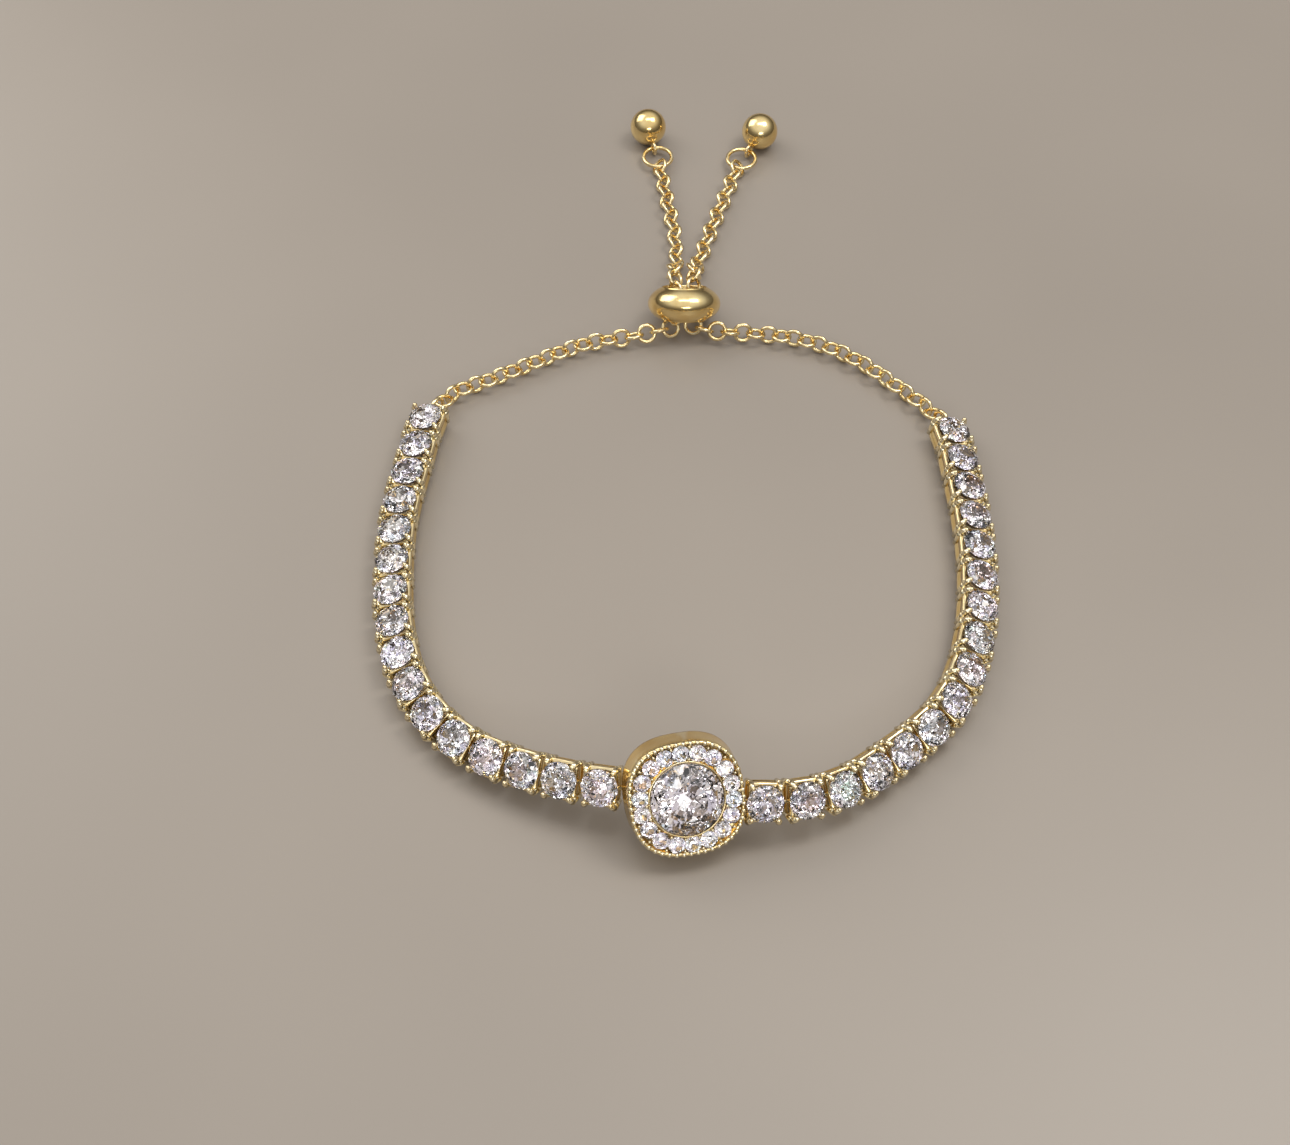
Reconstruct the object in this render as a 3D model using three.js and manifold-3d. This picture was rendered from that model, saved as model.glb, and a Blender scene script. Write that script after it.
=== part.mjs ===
// A slider tennis bracelet lying on a surface: thirty-two square baskets with round stones, a cushion
// halo between them, two link chains that pass through one slider bead, and a ball on each free end.
// Millimetres, +Z up. The surface is z = 0 and the stones face outwards and up.
import * as THREE from 'three';
import { mergeVertices } from 'three/addons/utils/BufferGeometryUtils.js';
import Module from 'manifold-3d';

const wasm = await Module();
wasm.setup();

// Stone links
const linksPerSide = 16;
const linkPitch = 3.5;
const stoneDiameter = 3.0;
const stoneSides = 8;
const stoneCrown = 0.55;
const stoneSeat = 0.15;
const tableShare = 0.56;
const railWidth = 0.35;
const basketGap = 0.45;
const basketDepth = 2.4;
const basketTaper = 0.35;
const basketEndTaper = 0.08;
const prongWidth = 0.85;
const prongInset = 0.05;
const prongRise = 0.5;
const prongTip = 0.7;

// Hinge between two baskets: an arrow-headed tongue held in a slot of the same shape
const hingeDepth = 1.2;
const tongueNeck = 0.3;
const tongueHead = 0.92;
const tongueHeight = 0.7;
const tongueFlare = 0.45;
const tongueReach = 0.9;
const tongueRoot = 0.6;
const neckPlay = 0.14;
const headPlay = 0.6;
const mouthPlay = 0.2;
const tipPlay = 0.22;
const roofPlay = 0.3;

// Halo
const haloSize = 9.8;
const haloPlay = 0.15;
const haloDepth = 3.4;
const haloFlare = 0.12;
const haloChamfer = 0.35;
const haloBevelDepth = 0.6;
const haloSides = 16;
const haloSquareness = 2.6;
const haloElevation = 44;
const haloTurn = 12;
const haloForward = 1.0;
const collarWidth = 0.3;
const collarHeight = 0.25;
const seatClearance = 0.15;
const seatDrop = 0.9;
const seatBore = 4.6;
const pavedStones = 18;
const pavedDiameter = 1.3;
const pavedCrown = 0.3;

// Centre stone
const centreDiameter = 6.0;
const centreSides = 12;
const centreGirdle = 0.2;
const centreCrown = 0.95;
const centrePavilion = 2.4;
const centreTableShare = 0.57;

// Chain
const chainWire = 0.4;
const chainRing = 2.16;
const chainSides = 10;
const wireSides = 5;
const solderDepth = 0.04;
const looseGap = 0.12;
const walkStep = 0.01;
const eyeTurn = 20;
const boreClearance = 0.3;
const loopRoll = 10;
const sliderRoll = 45;
const rollChange = 6;
const loopPoints = 7;

// Slider bead
const beadDiameter = 7.5;
const beadLength = 4.3;
const beadSides = 12;
const beadArcSteps = 4;
const beadTilt = 50;
const beadPlace = [3.85, 32.2];
const boreOverrun = 0.1;
const lipLength = 1.4;
const lipRise = 0.1;
const dropLength = 3.08;
const dropDepth = 1.7;
const dropSpread = 0.1;
const mouthRise = 0.3;
const landingRise = 0.35;

// Free ends
const ringDiameter = 3.6;
const ringWire = 0.44;
const ringSides = 10;
const ballDiameter = 4.0;
const ballSides = 10;
const eyeDiameter = 1.66;
const eyeWire = 0.36;

// Lean of the stones and lift of the links along a half band, from the halo out to the chain.
const bandColumns = ['share', 'left', 'right', 'lift'];
const bandRows = [
  [0.0, 45, 44, 1.0],
  [0.0625, 46, 45, 0.8],
  [0.13, 48, 46, 0.5],
  [0.2, 52, 48, 0.2],
  [0.28, 58, 51, 0],
  [0.48, 73, 62, 0],
  [0.72, 80, 72, 0],
  [1.0, 80, 73, 0],
];

// The chosen points of the string of links and of the two chains, seen from above.
const route = {
  halo: [3.3, -25.65],
  left: {
    loop: [
      [-2.8, -25.1], [-9.3, -23.1], [-16.0, -19.6], [-20.2, -14.8], [-22.5, -8.4], [-23.3, -1.4],
      [-23.4, 5.0], [-22.4, 12.4], [-21.5, 17.8], [-20.0, 20.8], [-15.4, 23.4], [-11.3, 25.6],
      [-6.8, 28.0], [-1.7, 29.2], [1.2, 29.8],
    ],
    tail: [[3.1, 39.0], [2.9, 44.9], [2.2, 49.5], [1.2, 56.2]],
    endTurn: -8,
  },
  right: {
    loop: [
      [9.7, -26.4], [16.1, -24.8], [21.7, -20.7], [26.8, -15.8], [29.5, -9.8], [30.75, -2.8],
      [31.0, 4.0], [30.5, 11.2], [29.9, 16.4], [28.5, 19.3], [25.0, 23.0], [20.8, 26.7],
      [16.3, 28.9], [11.0, 29.8], [6.8, 29.9],
    ],
    tail: [[5.2, 39.0], [6.8, 44.9], [8.2, 49.5], [10.3, 56.1]],
    endTurn: 15,
  },
};

const gold = { color: 0xc8a35a, roughness: 0.24, metalness: 1.0 };
const clearStone = { color: 0xe6e8ef, roughness: 0.05, metalness: 0.0 };

const radians = THREE.MathUtils.degToRad;
const up = new THREE.Vector3(0, 0, 1);
const vector = (x, y, z) => new THREE.Vector3(x, y, z);

// A closed three.js geometry as a solid for joining and cutting.
function solidOf(geometry) {
  const bare = geometry.clone();
  bare.deleteAttribute('normal');
  bare.deleteAttribute('uv');
  const merged = mergeVertices(bare, 1e-5);
  return new wasm.Manifold(new wasm.Mesh({
    numProp: 3,
    vertProperties: new Float32Array(merged.attributes.position.array),
    triVerts: new Uint32Array(merged.index.array),
  }));
}

// A joined or cut solid as a three.js geometry again.
function geometryOf(solid) {
  const mesh = solid.getMesh();
  const geometry = new THREE.BufferGeometry();
  geometry.setAttribute('position', new THREE.BufferAttribute(new Float32Array(mesh.vertProperties), 3));
  geometry.setIndex(new THREE.BufferAttribute(new Uint32Array(mesh.triVerts), 1));
  geometry.computeVertexNormals();
  return geometry;
}

function joined(geometries) {
  return geometries.map(solidOf).reduce((sum, solid) => sum.add(solid));
}

function mesh(name, geometry, finish) {
  const made = new THREE.Mesh(geometry, new THREE.MeshStandardMaterial(finish));
  made.name = name;
  return made;
}

// A matrix with the given axes as its columns.
function frameOf(origin, x, y, z) {
  return new THREE.Matrix4().makeBasis(x, y, z).setPosition(origin);
}

// A lathe about z from a profile of [radius, height] pairs.
function turned(profile, sides) {
  const points = profile.map(([radius, height]) => new THREE.Vector2(radius, height));
  return new THREE.LatheGeometry(points, sides).rotateX(Math.PI / 2);
}

// A value of one column of the band table at a share of the half band.
function bandValue(column, share) {
  const index = bandColumns.indexOf(column);
  const last = bandRows.findIndex((row) => row[0] >= share);
  const after = bandRows[Math.max(last, 1)];
  const before = bandRows[Math.max(last, 1) - 1];
  const blend = (share - before[0]) / (after[0] - before[0]);
  return before[index] + (after[index] - before[index]) * blend;
}

// One basket
const basketLength = linkPitch - basketGap;
const basketWidth = stoneDiameter + 2 * railWidth;

// A prism over an outline of [x, y] corners, whose top is narrowed towards a middle point.
function tapered(corners, bottom, top, topShare, middle) {
  const shape = new THREE.Shape(corners.map(([x, y]) => new THREE.Vector2(x, y)));
  const prism = new THREE.ExtrudeGeometry(shape, { depth: top - bottom, bevelEnabled: false });
  prism.translate(0, 0, bottom);
  const places = prism.attributes.position;
  for (let i = 0; i < places.count; i += 1) {
    if (places.getZ(i) > (bottom + top) / 2) {
      places.setX(i, middle[0] + (places.getX(i) - middle[0]) * topShare);
      places.setY(i, middle[1] + (places.getY(i) - middle[1]) * topShare);
    }
  }
  return prism;
}

// A block whose top is the girdle plane and whose back is a little smaller.
function basketBlock() {
  const block = new THREE.BoxGeometry(basketLength, basketWidth, basketDepth);
  block.translate(0, 0, -basketDepth / 2);
  const places = block.attributes.position;
  for (let i = 0; i < places.count; i += 1) {
    if (places.getZ(i) < -basketDepth / 2) {
      places.setX(i, places.getX(i) - Math.sign(places.getX(i)) * basketEndTaper);
      places.setY(i, places.getY(i) - Math.sign(places.getY(i)) * basketTaper);
    }
  }
  return block;
}

// The crown of a round stone with its table, sunk into what holds it.
function crownOf(diameter, crown, seat, sides) {
  const corners = [];
  for (let corner = 0; corner < sides; corner += 1) {
    const angle = (2 * Math.PI * (corner + 0.5)) / sides;
    corners.push([(diameter / 2) * Math.cos(angle), (diameter / 2) * Math.sin(angle)]);
  }
  return tapered(corners, -seat, crown, tableShare, [0, 0]);
}

// A three-sided prong that fills one corner of the basket and narrows towards its tip.
function prong(alongSign, acrossSign) {
  const x = alongSign * (basketLength / 2 - prongInset);
  const y = acrossSign * (basketWidth / 2 - prongInset);
  const corners = [[x, y], [x - alongSign * prongWidth, y], [x, y - acrossSign * prongWidth]];
  const middle = [x - (alongSign * prongWidth) / 3, y - (acrossSign * prongWidth) / 3];
  return tapered(corners, -stoneSeat, prongRise, prongTip, middle);
}

// A tongue with an arrow head, seen from the stone side.
function tongue() {
  const root = basketLength / 2 - tongueRoot;
  const flare = linkPitch / 2 + tongueFlare;
  const tip = linkPitch / 2 + tongueReach;
  const neck = tongueNeck / 2;
  const head = tongueHead / 2;
  const corners = [[root, -neck], [flare, -neck], [tip, -head], [tip, head], [flare, neck], [root, neck]];
  return tapered(corners, -hingeDepth - tongueHeight / 2, -hingeDepth + tongueHeight / 2, 1, [0, 0]);
}

// The slot takes the next tongue: narrow at the end of the basket, wider inside and open at the back.
function slot() {
  const mouth = mouthPlay - linkPitch / 2;
  const end = tongueReach + tipPlay - linkPitch / 2;
  const neck = tongueNeck / 2 + neckPlay;
  const head = tongueHead / 2 + headPlay;
  const corners = [[mouth, -neck], [end, -head], [end, head], [mouth, neck]];
  const roof = hingeDepth - tongueHeight / 2 - roofPlay;
  return tapered(corners, -basketDepth - basketGap, -roof, 1, [0, 0]);
}

// A ring about z whose wire has an edge inwards and whose straight parts lie across x.
function ringOf(diameter, wire, sides) {
  const middle = (diameter - wire) / 2;
  const profile = [];
  for (let corner = 0; corner <= wireSides; corner += 1) {
    const angle = Math.PI + (2 * Math.PI * (corner % wireSides)) / wireSides;
    profile.push([middle + (wire / 2) * Math.cos(angle), (wire / 2) * Math.sin(angle)]);
  }
  return turned(profile, sides).rotateZ(Math.PI / 2 + Math.PI / sides);
}

// The distance from a ring's centre to the inner edge of the straight part across x.
function ringHole(diameter, wire, sides) {
  return (diameter / 2 - wire) * Math.cos(Math.PI / sides);
}

// The eye on an end basket stands upright and is turned towards the inside, where the chain leaves.
const eyeMiddle = (chainRing - chainWire) / 2 - chainWire / 4;

function eyePlace(side) {
  const turn = radians(side === 'left' ? -eyeTurn : eyeTurn);
  const x = basketLength / 2 + eyeMiddle * Math.cos(turn);
  return { turn, centre: vector(x, eyeMiddle * Math.sin(turn), -hingeDepth) };
}

function endEye(side) {
  const { turn, centre } = eyePlace(side);
  const eye = ringOf(chainRing, chainWire, chainSides).rotateX(Math.PI / 2).rotateZ(turn);
  return eye.translate(centre.x, centre.y, centre.z);
}

function basketWith(fitting) {
  const signs = [[1, 1], [1, -1], [-1, 1], [-1, -1]];
  const prongs = signs.map(([along, across]) => prong(along, across));
  const crown = crownOf(stoneDiameter, stoneCrown, stoneSeat, stoneSides);
  const body = joined([basketBlock(), crown, ...prongs, fitting]);
  return geometryOf(body.subtract(solidOf(slot())));
}

// Height of the girdle's centre above the surface for a basket that rests at a lean.
function basketHeight(lean) {
  const angle = radians(lean);
  const back = basketDepth * Math.sin(angle) + (basketWidth / 2 - basketTaper) * Math.cos(angle);
  return Math.max(back, (basketWidth / 2) * Math.cos(angle));
}

// Halo
const pavedRadius = (centreDiameter / 2 + seatClearance + collarWidth + haloSize / 2) / 2;

// How much further out a cushion's outline lies than a circle's, at an angle.
function cushion(angle) {
  const power = haloSquareness;
  const sum = Math.abs(Math.cos(angle)) ** power + Math.abs(Math.sin(angle)) ** power;
  return sum ** (-1 / power);
}

function haloProfile() {
  const seat = centreDiameter / 2 + seatClearance;
  const outer = haloSize / 2;
  return [
    [seat, -seatDrop],
    [seatBore / 2, -haloDepth],
    [outer - haloChamfer, -haloDepth],
    [outer + haloFlare, -haloDepth + haloBevelDepth],
    [outer, 0],
    [seat + collarWidth, 0],
    [seat + collarWidth, collarHeight],
    [seat, collarHeight],
    [seat, -seatDrop],
  ];
}

// The case is round at its seat and a cushion at its rim.
function haloCase() {
  const body = turned(haloProfile(), haloSides);
  const places = body.attributes.position;
  const seat = centreDiameter / 2 + seatClearance + collarWidth;
  for (let i = 0; i < places.count; i += 1) {
    const radius = Math.hypot(places.getX(i), places.getY(i));
    const blend = THREE.MathUtils.clamp((radius - seat) / (haloSize / 2 - haloChamfer - seat), 0, 1);
    const grown = 1 + (cushion(Math.atan2(places.getY(i), places.getX(i))) - 1) * blend;
    places.setX(i, places.getX(i) * grown);
    places.setY(i, places.getY(i) * grown);
  }
  return body;
}

function pavedStone(index) {
  const angle = (2 * Math.PI * (index + 0.5)) / pavedStones;
  const stretch = 1 + (cushion(angle) - 1) / 2;
  const crown = crownOf(pavedDiameter, pavedCrown, stoneSeat, stoneSides);
  return crown.translate(pavedRadius * stretch * Math.cos(angle), pavedRadius * stretch * Math.sin(angle), 0);
}

function haloHeight() {
  const angle = radians(haloElevation);
  const reach = ([radius, height]) => radius * Math.cos(angle) - height * Math.sin(angle);
  return Math.max(...haloProfile().map(reach));
}

const hingeHeightAtHalo = haloHeight() - (hingeDepth + haloForward) * Math.sin(radians(haloElevation));

// Height of a hinge, a given share out from the halo.
function hingeHeight(side, share) {
  const rest = (at) => {
    const lean = bandValue(side, at);
    return basketHeight(lean) - hingeDepth * Math.sin(radians(lean));
  };
  return rest(share) + bandValue('lift', share) * (hingeHeightAtHalo - rest(0));
}

// Places along the band

// The first point of a curve, past a length, that lies a straight distance from a place.
function walkOn(curve, length, place, heightAt, distance) {
  const whole = curve.getLength();
  let reached = length;
  let point = place;
  while (point.distanceTo(place) < distance && reached < whole) {
    reached += walkStep;
    point = curve.getPointAt(Math.min(reached / whole, 1)).clone();
    point.z = heightAt(point);
  }
  return { reached, point };
}

function planCurve(side) {
  const places = [route.halo, ...route[side].loop].map(([x, y]) => vector(x, y, 0));
  const curve = new THREE.CatmullRomCurve3(places);
  curve.arcLengthDivisions = 2000;
  return curve;
}

// The hinge points from the halo to the end of the half band.
function hingePoints(side) {
  const curve = planCurve(side);
  const centre = curve.getPointAt(0).clone();
  centre.z = hingeHeight(side, 0);
  let last = walkOn(curve, 0, centre, () => hingeHeight(side, 0), haloSize / 2 + haloPlay);
  const points = [last.point];
  for (let k = 1; k <= linksPerSide; k += 1) {
    last = walkOn(curve, last.reached, last.point, () => hingeHeight(side, k / linksPerSide), linkPitch);
    points.push(last.point);
  }
  return { points, reached: last.reached, curve };
}

// The frame of a link between two hinges: x along the band, z out of the stone's table.
function linkFrame(from, to, outwardSign, lean) {
  const along = to.clone().sub(from).normalize();
  const outward = along.clone().cross(up).multiplyScalar(outwardSign).normalize();
  const facing = outward.multiplyScalar(Math.cos(radians(lean))).addScaledVector(up, Math.sin(radians(lean)));
  facing.addScaledVector(along, -facing.dot(along)).normalize();
  const across = facing.clone().cross(along);
  const middle = from.clone().add(to).multiplyScalar(0.5);
  return frameOf(middle.addScaledVector(facing, hingeDepth), along, across, facing);
}

// The chains

const chainMiddle = (chainRing - chainWire) / 2;
const chainPitch = 2 * ringHole(chainRing, chainWire, chainSides) + solderDepth;

// Height of a chain that lies on the surface with its links turned by a roll.
function chainHeight(roll) {
  const steep = Math.max(Math.cos(radians(roll)), Math.sin(radians(roll)));
  return chainMiddle * steep + chainWire / 2;
}

// Distance between the two chains in the bead, whose links stand at half right angles there.
const chainSpacing = 2 * (chainMiddle * Math.SQRT1_2 + chainWire / 2) + boreClearance;
const boreRadius = Math.hypot(chainSpacing / 2 + chainMiddle * Math.SQRT1_2, chainMiddle * Math.SQRT1_2)
  + chainWire / 2 + boreClearance;

function beadHeight() {
  const angle = radians(beadTilt);
  return Math.hypot((beadDiameter / 2) * Math.cos(angle), (beadLength / 2) * Math.sin(angle));
}

function beadFrame() {
  const axis = vector(0, Math.cos(radians(beadTilt)), Math.sin(radians(beadTilt)));
  const across = vector(1, 0, 0);
  const centre = vector(beadPlace[0], beadPlace[1], beadHeight());
  return frameOf(centre, across, axis.clone().cross(across), axis);
}

// The route of one chain, from the eye through the bead to its free end.
function chainCurve(side, start, band) {
  const sign = side === 'left' ? -1 : 1;
  const whole = band.curve.getLength();
  const rest = whole - band.reached;
  const low = chainHeight(loopRoll);
  const points = [start];
  for (let j = 1; j <= loopPoints; j += 1) {
    const place = band.curve.getPointAt((band.reached + (rest * j) / loopPoints) / whole).clone();
    points.push(place.setZ(j === loopPoints ? low + mouthRise : low));
  }
  const bead = beadFrame();
  const beside = sign * chainSpacing / 2;
  const bore = beadLength / 2 + boreOverrun;
  for (const height of [-bore, 0, bore]) {
    points.push(vector(beside, 0, height).applyMatrix4(bead));
  }
  const exit = points[points.length - 1];
  points.push(exit.clone().add(vector(0, lipLength, lipRise)));
  points.push(exit.clone().add(vector(sign * dropSpread, dropLength, -dropDepth)));
  const lying = chainHeight(sliderRoll);
  route[side].tail.forEach(([x, y], index) => {
    points.push(vector(x, y, index === 0 ? lying + landingRise : lying));
  });
  const curve = new THREE.CatmullRomCurve3(points);
  curve.arcLengthDivisions = 3000;
  return curve;
}

// The centres of a chain's links, the first of which is the eye.
function chainCentres(side, start, band) {
  const curve = chainCurve(side, start, band);
  const whole = curve.getLength();
  const centres = [start];
  let last = { reached: 0, point: start };
  let step = chainPitch - solderDepth - looseGap;
  while (last.reached + chainPitch < whole) {
    const from = last.point;
    let reached = last.reached;
    let point = from;
    while (point.distanceTo(from) < step && reached < whole) {
      reached += walkStep;
      point = curve.getPointAt(Math.min(reached / whole, 1));
    }
    last = { reached, point: point.clone() };
    centres.push(last.point);
    step = chainPitch;
  }
  return centres;
}

// Every second link is turned by a right angle, and the chain twists from the eye's tilt to its roll in
// the bead.
function chainRoll(side, index, sliderIndex) {
  const eyeTilt = 90 - bandValue(side, 1);
  const fromEye = eyeTilt - index * rollChange;
  const toBead = Math.min(sliderRoll, sliderRoll - (sliderIndex - index) * rollChange);
  return Math.max(fromEye, loopRoll, toBead) + ((index + 1) % 2) * 90;
}

function chainSolid(side, centres) {
  const bead = vector(beadPlace[0], beadPlace[1], 0);
  const distances = centres.map((centre) => Math.hypot(centre.x - bead.x, centre.y - bead.y));
  const sliderIndex = distances.findIndex((distance) => distance < beadDiameter / 2);
  const sign = side === 'left' ? -1 : 1;
  const links = [];
  for (let i = 1; i < centres.length; i += 1) {
    const next = centres[Math.min(i + 1, centres.length - 1)];
    const along = next.clone().sub(centres[i - 1]).normalize();
    const right = along.clone().cross(up).normalize();
    const above = right.clone().cross(along);
    const frame = frameOf(centres[i], along, right.clone().negate(), above);
    const link = ringOf(chainRing, chainWire, chainSides);
    link.rotateX(sign * radians(chainRoll(side, i, sliderIndex))).applyMatrix4(frame);
    links.push(link);
  }
  return geometryOf(joined(links));
}

// Slider bead: a round-shouldered rondelle with a bore that takes both chains
function beadShape() {
  const bore = boreRadius;
  const outer = beadDiameter / 2;
  const half = (beadLength / 2) * Math.sqrt(1 - (bore / outer) ** 2);
  const profile = [];
  const start = Math.atan2(half / (beadLength / 2), bore / outer);
  for (let step = 0; step <= beadArcSteps; step += 1) {
    const angle = -start + (2 * start * step) / beadArcSteps;
    profile.push([outer * Math.cos(angle), (beadLength / 2) * Math.sin(angle)]);
  }
  profile.push(profile[0]);
  return turned(profile, beadSides);
}

// The ring on a chain's last link and the ball with its eye beyond it
function freeEnd(side, centres) {
  const last = centres[centres.length - 1];
  const along = last.clone().sub(centres[centres.length - 2]).setZ(0).normalize();
  const ringMiddle = (ringDiameter - ringWire) / 2;
  const hold = ringHole(chainRing, chainWire, chainSides) - ringWire - looseGap;
  const ringCentre = last.clone().addScaledVector(along, hold + ringMiddle);
  const ring = ringOf(ringDiameter, ringWire, ringSides).translate(ringCentre.x, ringCentre.y, ringCentre.z);

  const turn = new THREE.Quaternion().setFromAxisAngle(up, radians(-route[side].endTurn));
  const away = along.clone().applyQuaternion(turn);
  const eyeCentre = ringCentre.clone().addScaledVector(away, ringMiddle);
  const reach = ballDiameter / 2 + (eyeDiameter - eyeWire) / 2 - eyeWire / 4;
  const rise = ballDiameter / 2 - eyeCentre.z;
  const ballCentre = eyeCentre.clone().addScaledVector(away, Math.sqrt(reach ** 2 - rise ** 2));
  ballCentre.z = ballDiameter / 2;
  const beside = away.clone().cross(up);
  const eye = ringOf(eyeDiameter, eyeWire, chainSides);
  eye.applyMatrix4(frameOf(eyeCentre, away, up, beside));
  const ball = new THREE.SphereGeometry(ballDiameter / 2, ballSides, ballSides / 2);
  ball.translate(ballCentre.x, ballCentre.y, ballCentre.z);
  return { ring, ball: geometryOf(joined([ball, eye])) };
}

// The links, chain and free end of one side
function buildSide(side, whole) {
  const outwardSign = side === 'left' ? -1 : 1;
  const band = hingePoints(side);
  const frames = [];
  for (let k = 0; k < linksPerSide; k += 1) {
    const lean = bandValue(side, (k + 0.5) / linksPerSide);
    frames.push(linkFrame(band.points[k], band.points[k + 1], outwardSign, lean));
  }
  frames.forEach((frame, k) => {
    const number = String(linksPerSide - k).padStart(2, '0');
    const fitting = k === linksPerSide - 1 ? endEye(side) : tongue();
    whole.add(mesh(`link_${side}_${number}`, basketWith(fitting).applyMatrix4(frame), gold));
  });
  const start = eyePlace(side).centre.applyMatrix4(frames[linksPerSide - 1]);
  const centres = chainCentres(side, start, band);
  whole.add(mesh(`chain_${side}`, chainSolid(side, centres), gold));
  const end = freeEnd(side, centres);
  whole.add(mesh(`jump_ring_${side}`, end.ring, gold));
  whole.add(mesh(`end_ball_${side}`, end.ball, gold));
  return frames[0];
}

// The halo's frame: its face is turned a little towards the right.
function haloFrame() {
  const elevation = radians(haloElevation);
  const facing = vector(
    Math.sin(radians(haloTurn)) * Math.cos(elevation),
    -Math.cos(radians(haloTurn)) * Math.cos(elevation),
    Math.sin(elevation),
  );
  const along = up.clone().cross(facing).normalize();
  const centre = vector(route.halo[0], route.halo[1], 0);
  centre.addScaledVector(vector(facing.x, facing.y, 0), hingeDepth + haloForward);
  centre.z = haloHeight();
  return frameOf(centre, along, facing.clone().cross(along), facing);
}

// The tongues of the halo point along the first link of each side.
function buildHalo(whole, leftFrame, rightFrame) {
  const frame = haloFrame();
  const pieces = [haloCase()];
  for (let i = 0; i < pavedStones; i += 1) {
    pieces.push(pavedStone(i));
  }
  const intoHalo = frame.clone().invert();
  for (const sideFrame of [leftFrame, rightFrame]) {
    pieces.push(tongue().translate(-linkPitch, 0, 0).applyMatrix4(sideFrame).applyMatrix4(intoHalo));
  }
  whole.add(mesh('halo_setting', geometryOf(joined(pieces)).applyMatrix4(frame), gold));

  const girdle = centreDiameter / 2;
  const profile = [
    [0, -centrePavilion],
    [girdle, 0],
    [girdle, centreGirdle],
    [girdle * centreTableShare, centreGirdle + centreCrown],
    [0, centreGirdle + centreCrown],
  ];
  whole.add(mesh('centre_stone', turned(profile, centreSides).applyMatrix4(frame), clearStone));
}

const bracelet = new THREE.Group();
const leftFrame = buildSide('left', bracelet);
const rightFrame = buildSide('right', bracelet);
buildHalo(bracelet, leftFrame, rightFrame);
bracelet.add(mesh('slider_bead', beadShape().applyMatrix4(beadFrame()), gold));

// The origin is under the middle of the bracelet, on the surface.
const box = new THREE.Box3().setFromObject(bracelet);
const middle = box.getCenter(vector(0, 0, 0));
bracelet.position.set(-middle.x, -middle.y, -box.min.z);

export default bracelet;
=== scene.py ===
"""Looks of a slider tennis bracelet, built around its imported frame.

Thirty-two square baskets with round stones, a cushion halo with a larger stone, two link chains that
pass through a slider bead, and a ball on each free end. Shapes are worked out in millimetres in the
layout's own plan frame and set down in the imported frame, in metres.
"""

import logging
import math
import random
from bisect import bisect_right
from collections.abc import Callable, Iterable, Sequence
from dataclasses import dataclass, field
from enum import Enum

import bmesh
import bpy
from mathutils import Matrix, Vector


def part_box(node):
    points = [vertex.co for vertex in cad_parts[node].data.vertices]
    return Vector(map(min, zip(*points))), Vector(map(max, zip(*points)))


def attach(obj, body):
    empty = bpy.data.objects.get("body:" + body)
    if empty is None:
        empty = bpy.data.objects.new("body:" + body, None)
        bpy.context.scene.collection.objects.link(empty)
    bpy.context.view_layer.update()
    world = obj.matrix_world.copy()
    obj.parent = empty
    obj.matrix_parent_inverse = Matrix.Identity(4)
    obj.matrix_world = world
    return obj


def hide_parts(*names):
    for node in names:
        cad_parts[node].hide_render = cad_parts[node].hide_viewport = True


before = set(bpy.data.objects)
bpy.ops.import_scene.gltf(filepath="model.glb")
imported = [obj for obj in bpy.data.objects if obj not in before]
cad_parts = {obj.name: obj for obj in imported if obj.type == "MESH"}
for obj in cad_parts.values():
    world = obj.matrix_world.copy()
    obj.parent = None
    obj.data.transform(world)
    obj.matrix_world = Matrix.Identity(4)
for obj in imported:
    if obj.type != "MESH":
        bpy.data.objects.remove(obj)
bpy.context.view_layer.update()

BODY = "root"
MM = 0.001
UP = Vector((0.0, 0.0, 1.0))
HERE = Matrix.Identity(4)
WALK_STEP = 0.01
MERGE = 1e-5

log = logging.getLogger("bracelet")

Colour = tuple[float, float, float]
Pair = tuple[float, float]
Stops = tuple[tuple[float, Colour], ...]


class Side(Enum):
    """The two halves of the bracelet, seen from the front."""

    LEFT = "left"
    RIGHT = "right"

    @property
    def sign(self) -> int:
        """Minus one on the left and one on the right."""
        return -1 if self is Side.LEFT else 1

    @property
    def seeds(self) -> int:
        """Where the seeds of this side's stones start."""
        return 0 if self is Side.LEFT else 100


class Slot(Enum):
    """The record's material slots."""

    GOLD = "gold"
    STONE = "stone"


@dataclass(frozen=True)
class BandRow:
    """Lean of the stones and lift of the links at a share of a half band, from the halo outwards."""

    share: float
    left: float
    right: float
    lift: float


@dataclass(frozen=True)
class HalfRoute:
    """The chosen points of one half: the band and chain up to the bead, and the tail beyond it."""

    loop: tuple[Pair, ...]
    tail: tuple[Pair, ...]
    end_turn: float


BAND_ROWS = (
    BandRow(0.0, 45, 44, 1.0),
    BandRow(0.0625, 46, 45, 0.8),
    BandRow(0.13, 48, 46, 0.5),
    BandRow(0.2, 52, 48, 0.2),
    BandRow(0.28, 58, 51, 0),
    BandRow(0.48, 73, 62, 0),
    BandRow(0.72, 80, 72, 0),
    BandRow(1.0, 80, 73, 0),
)

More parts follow.
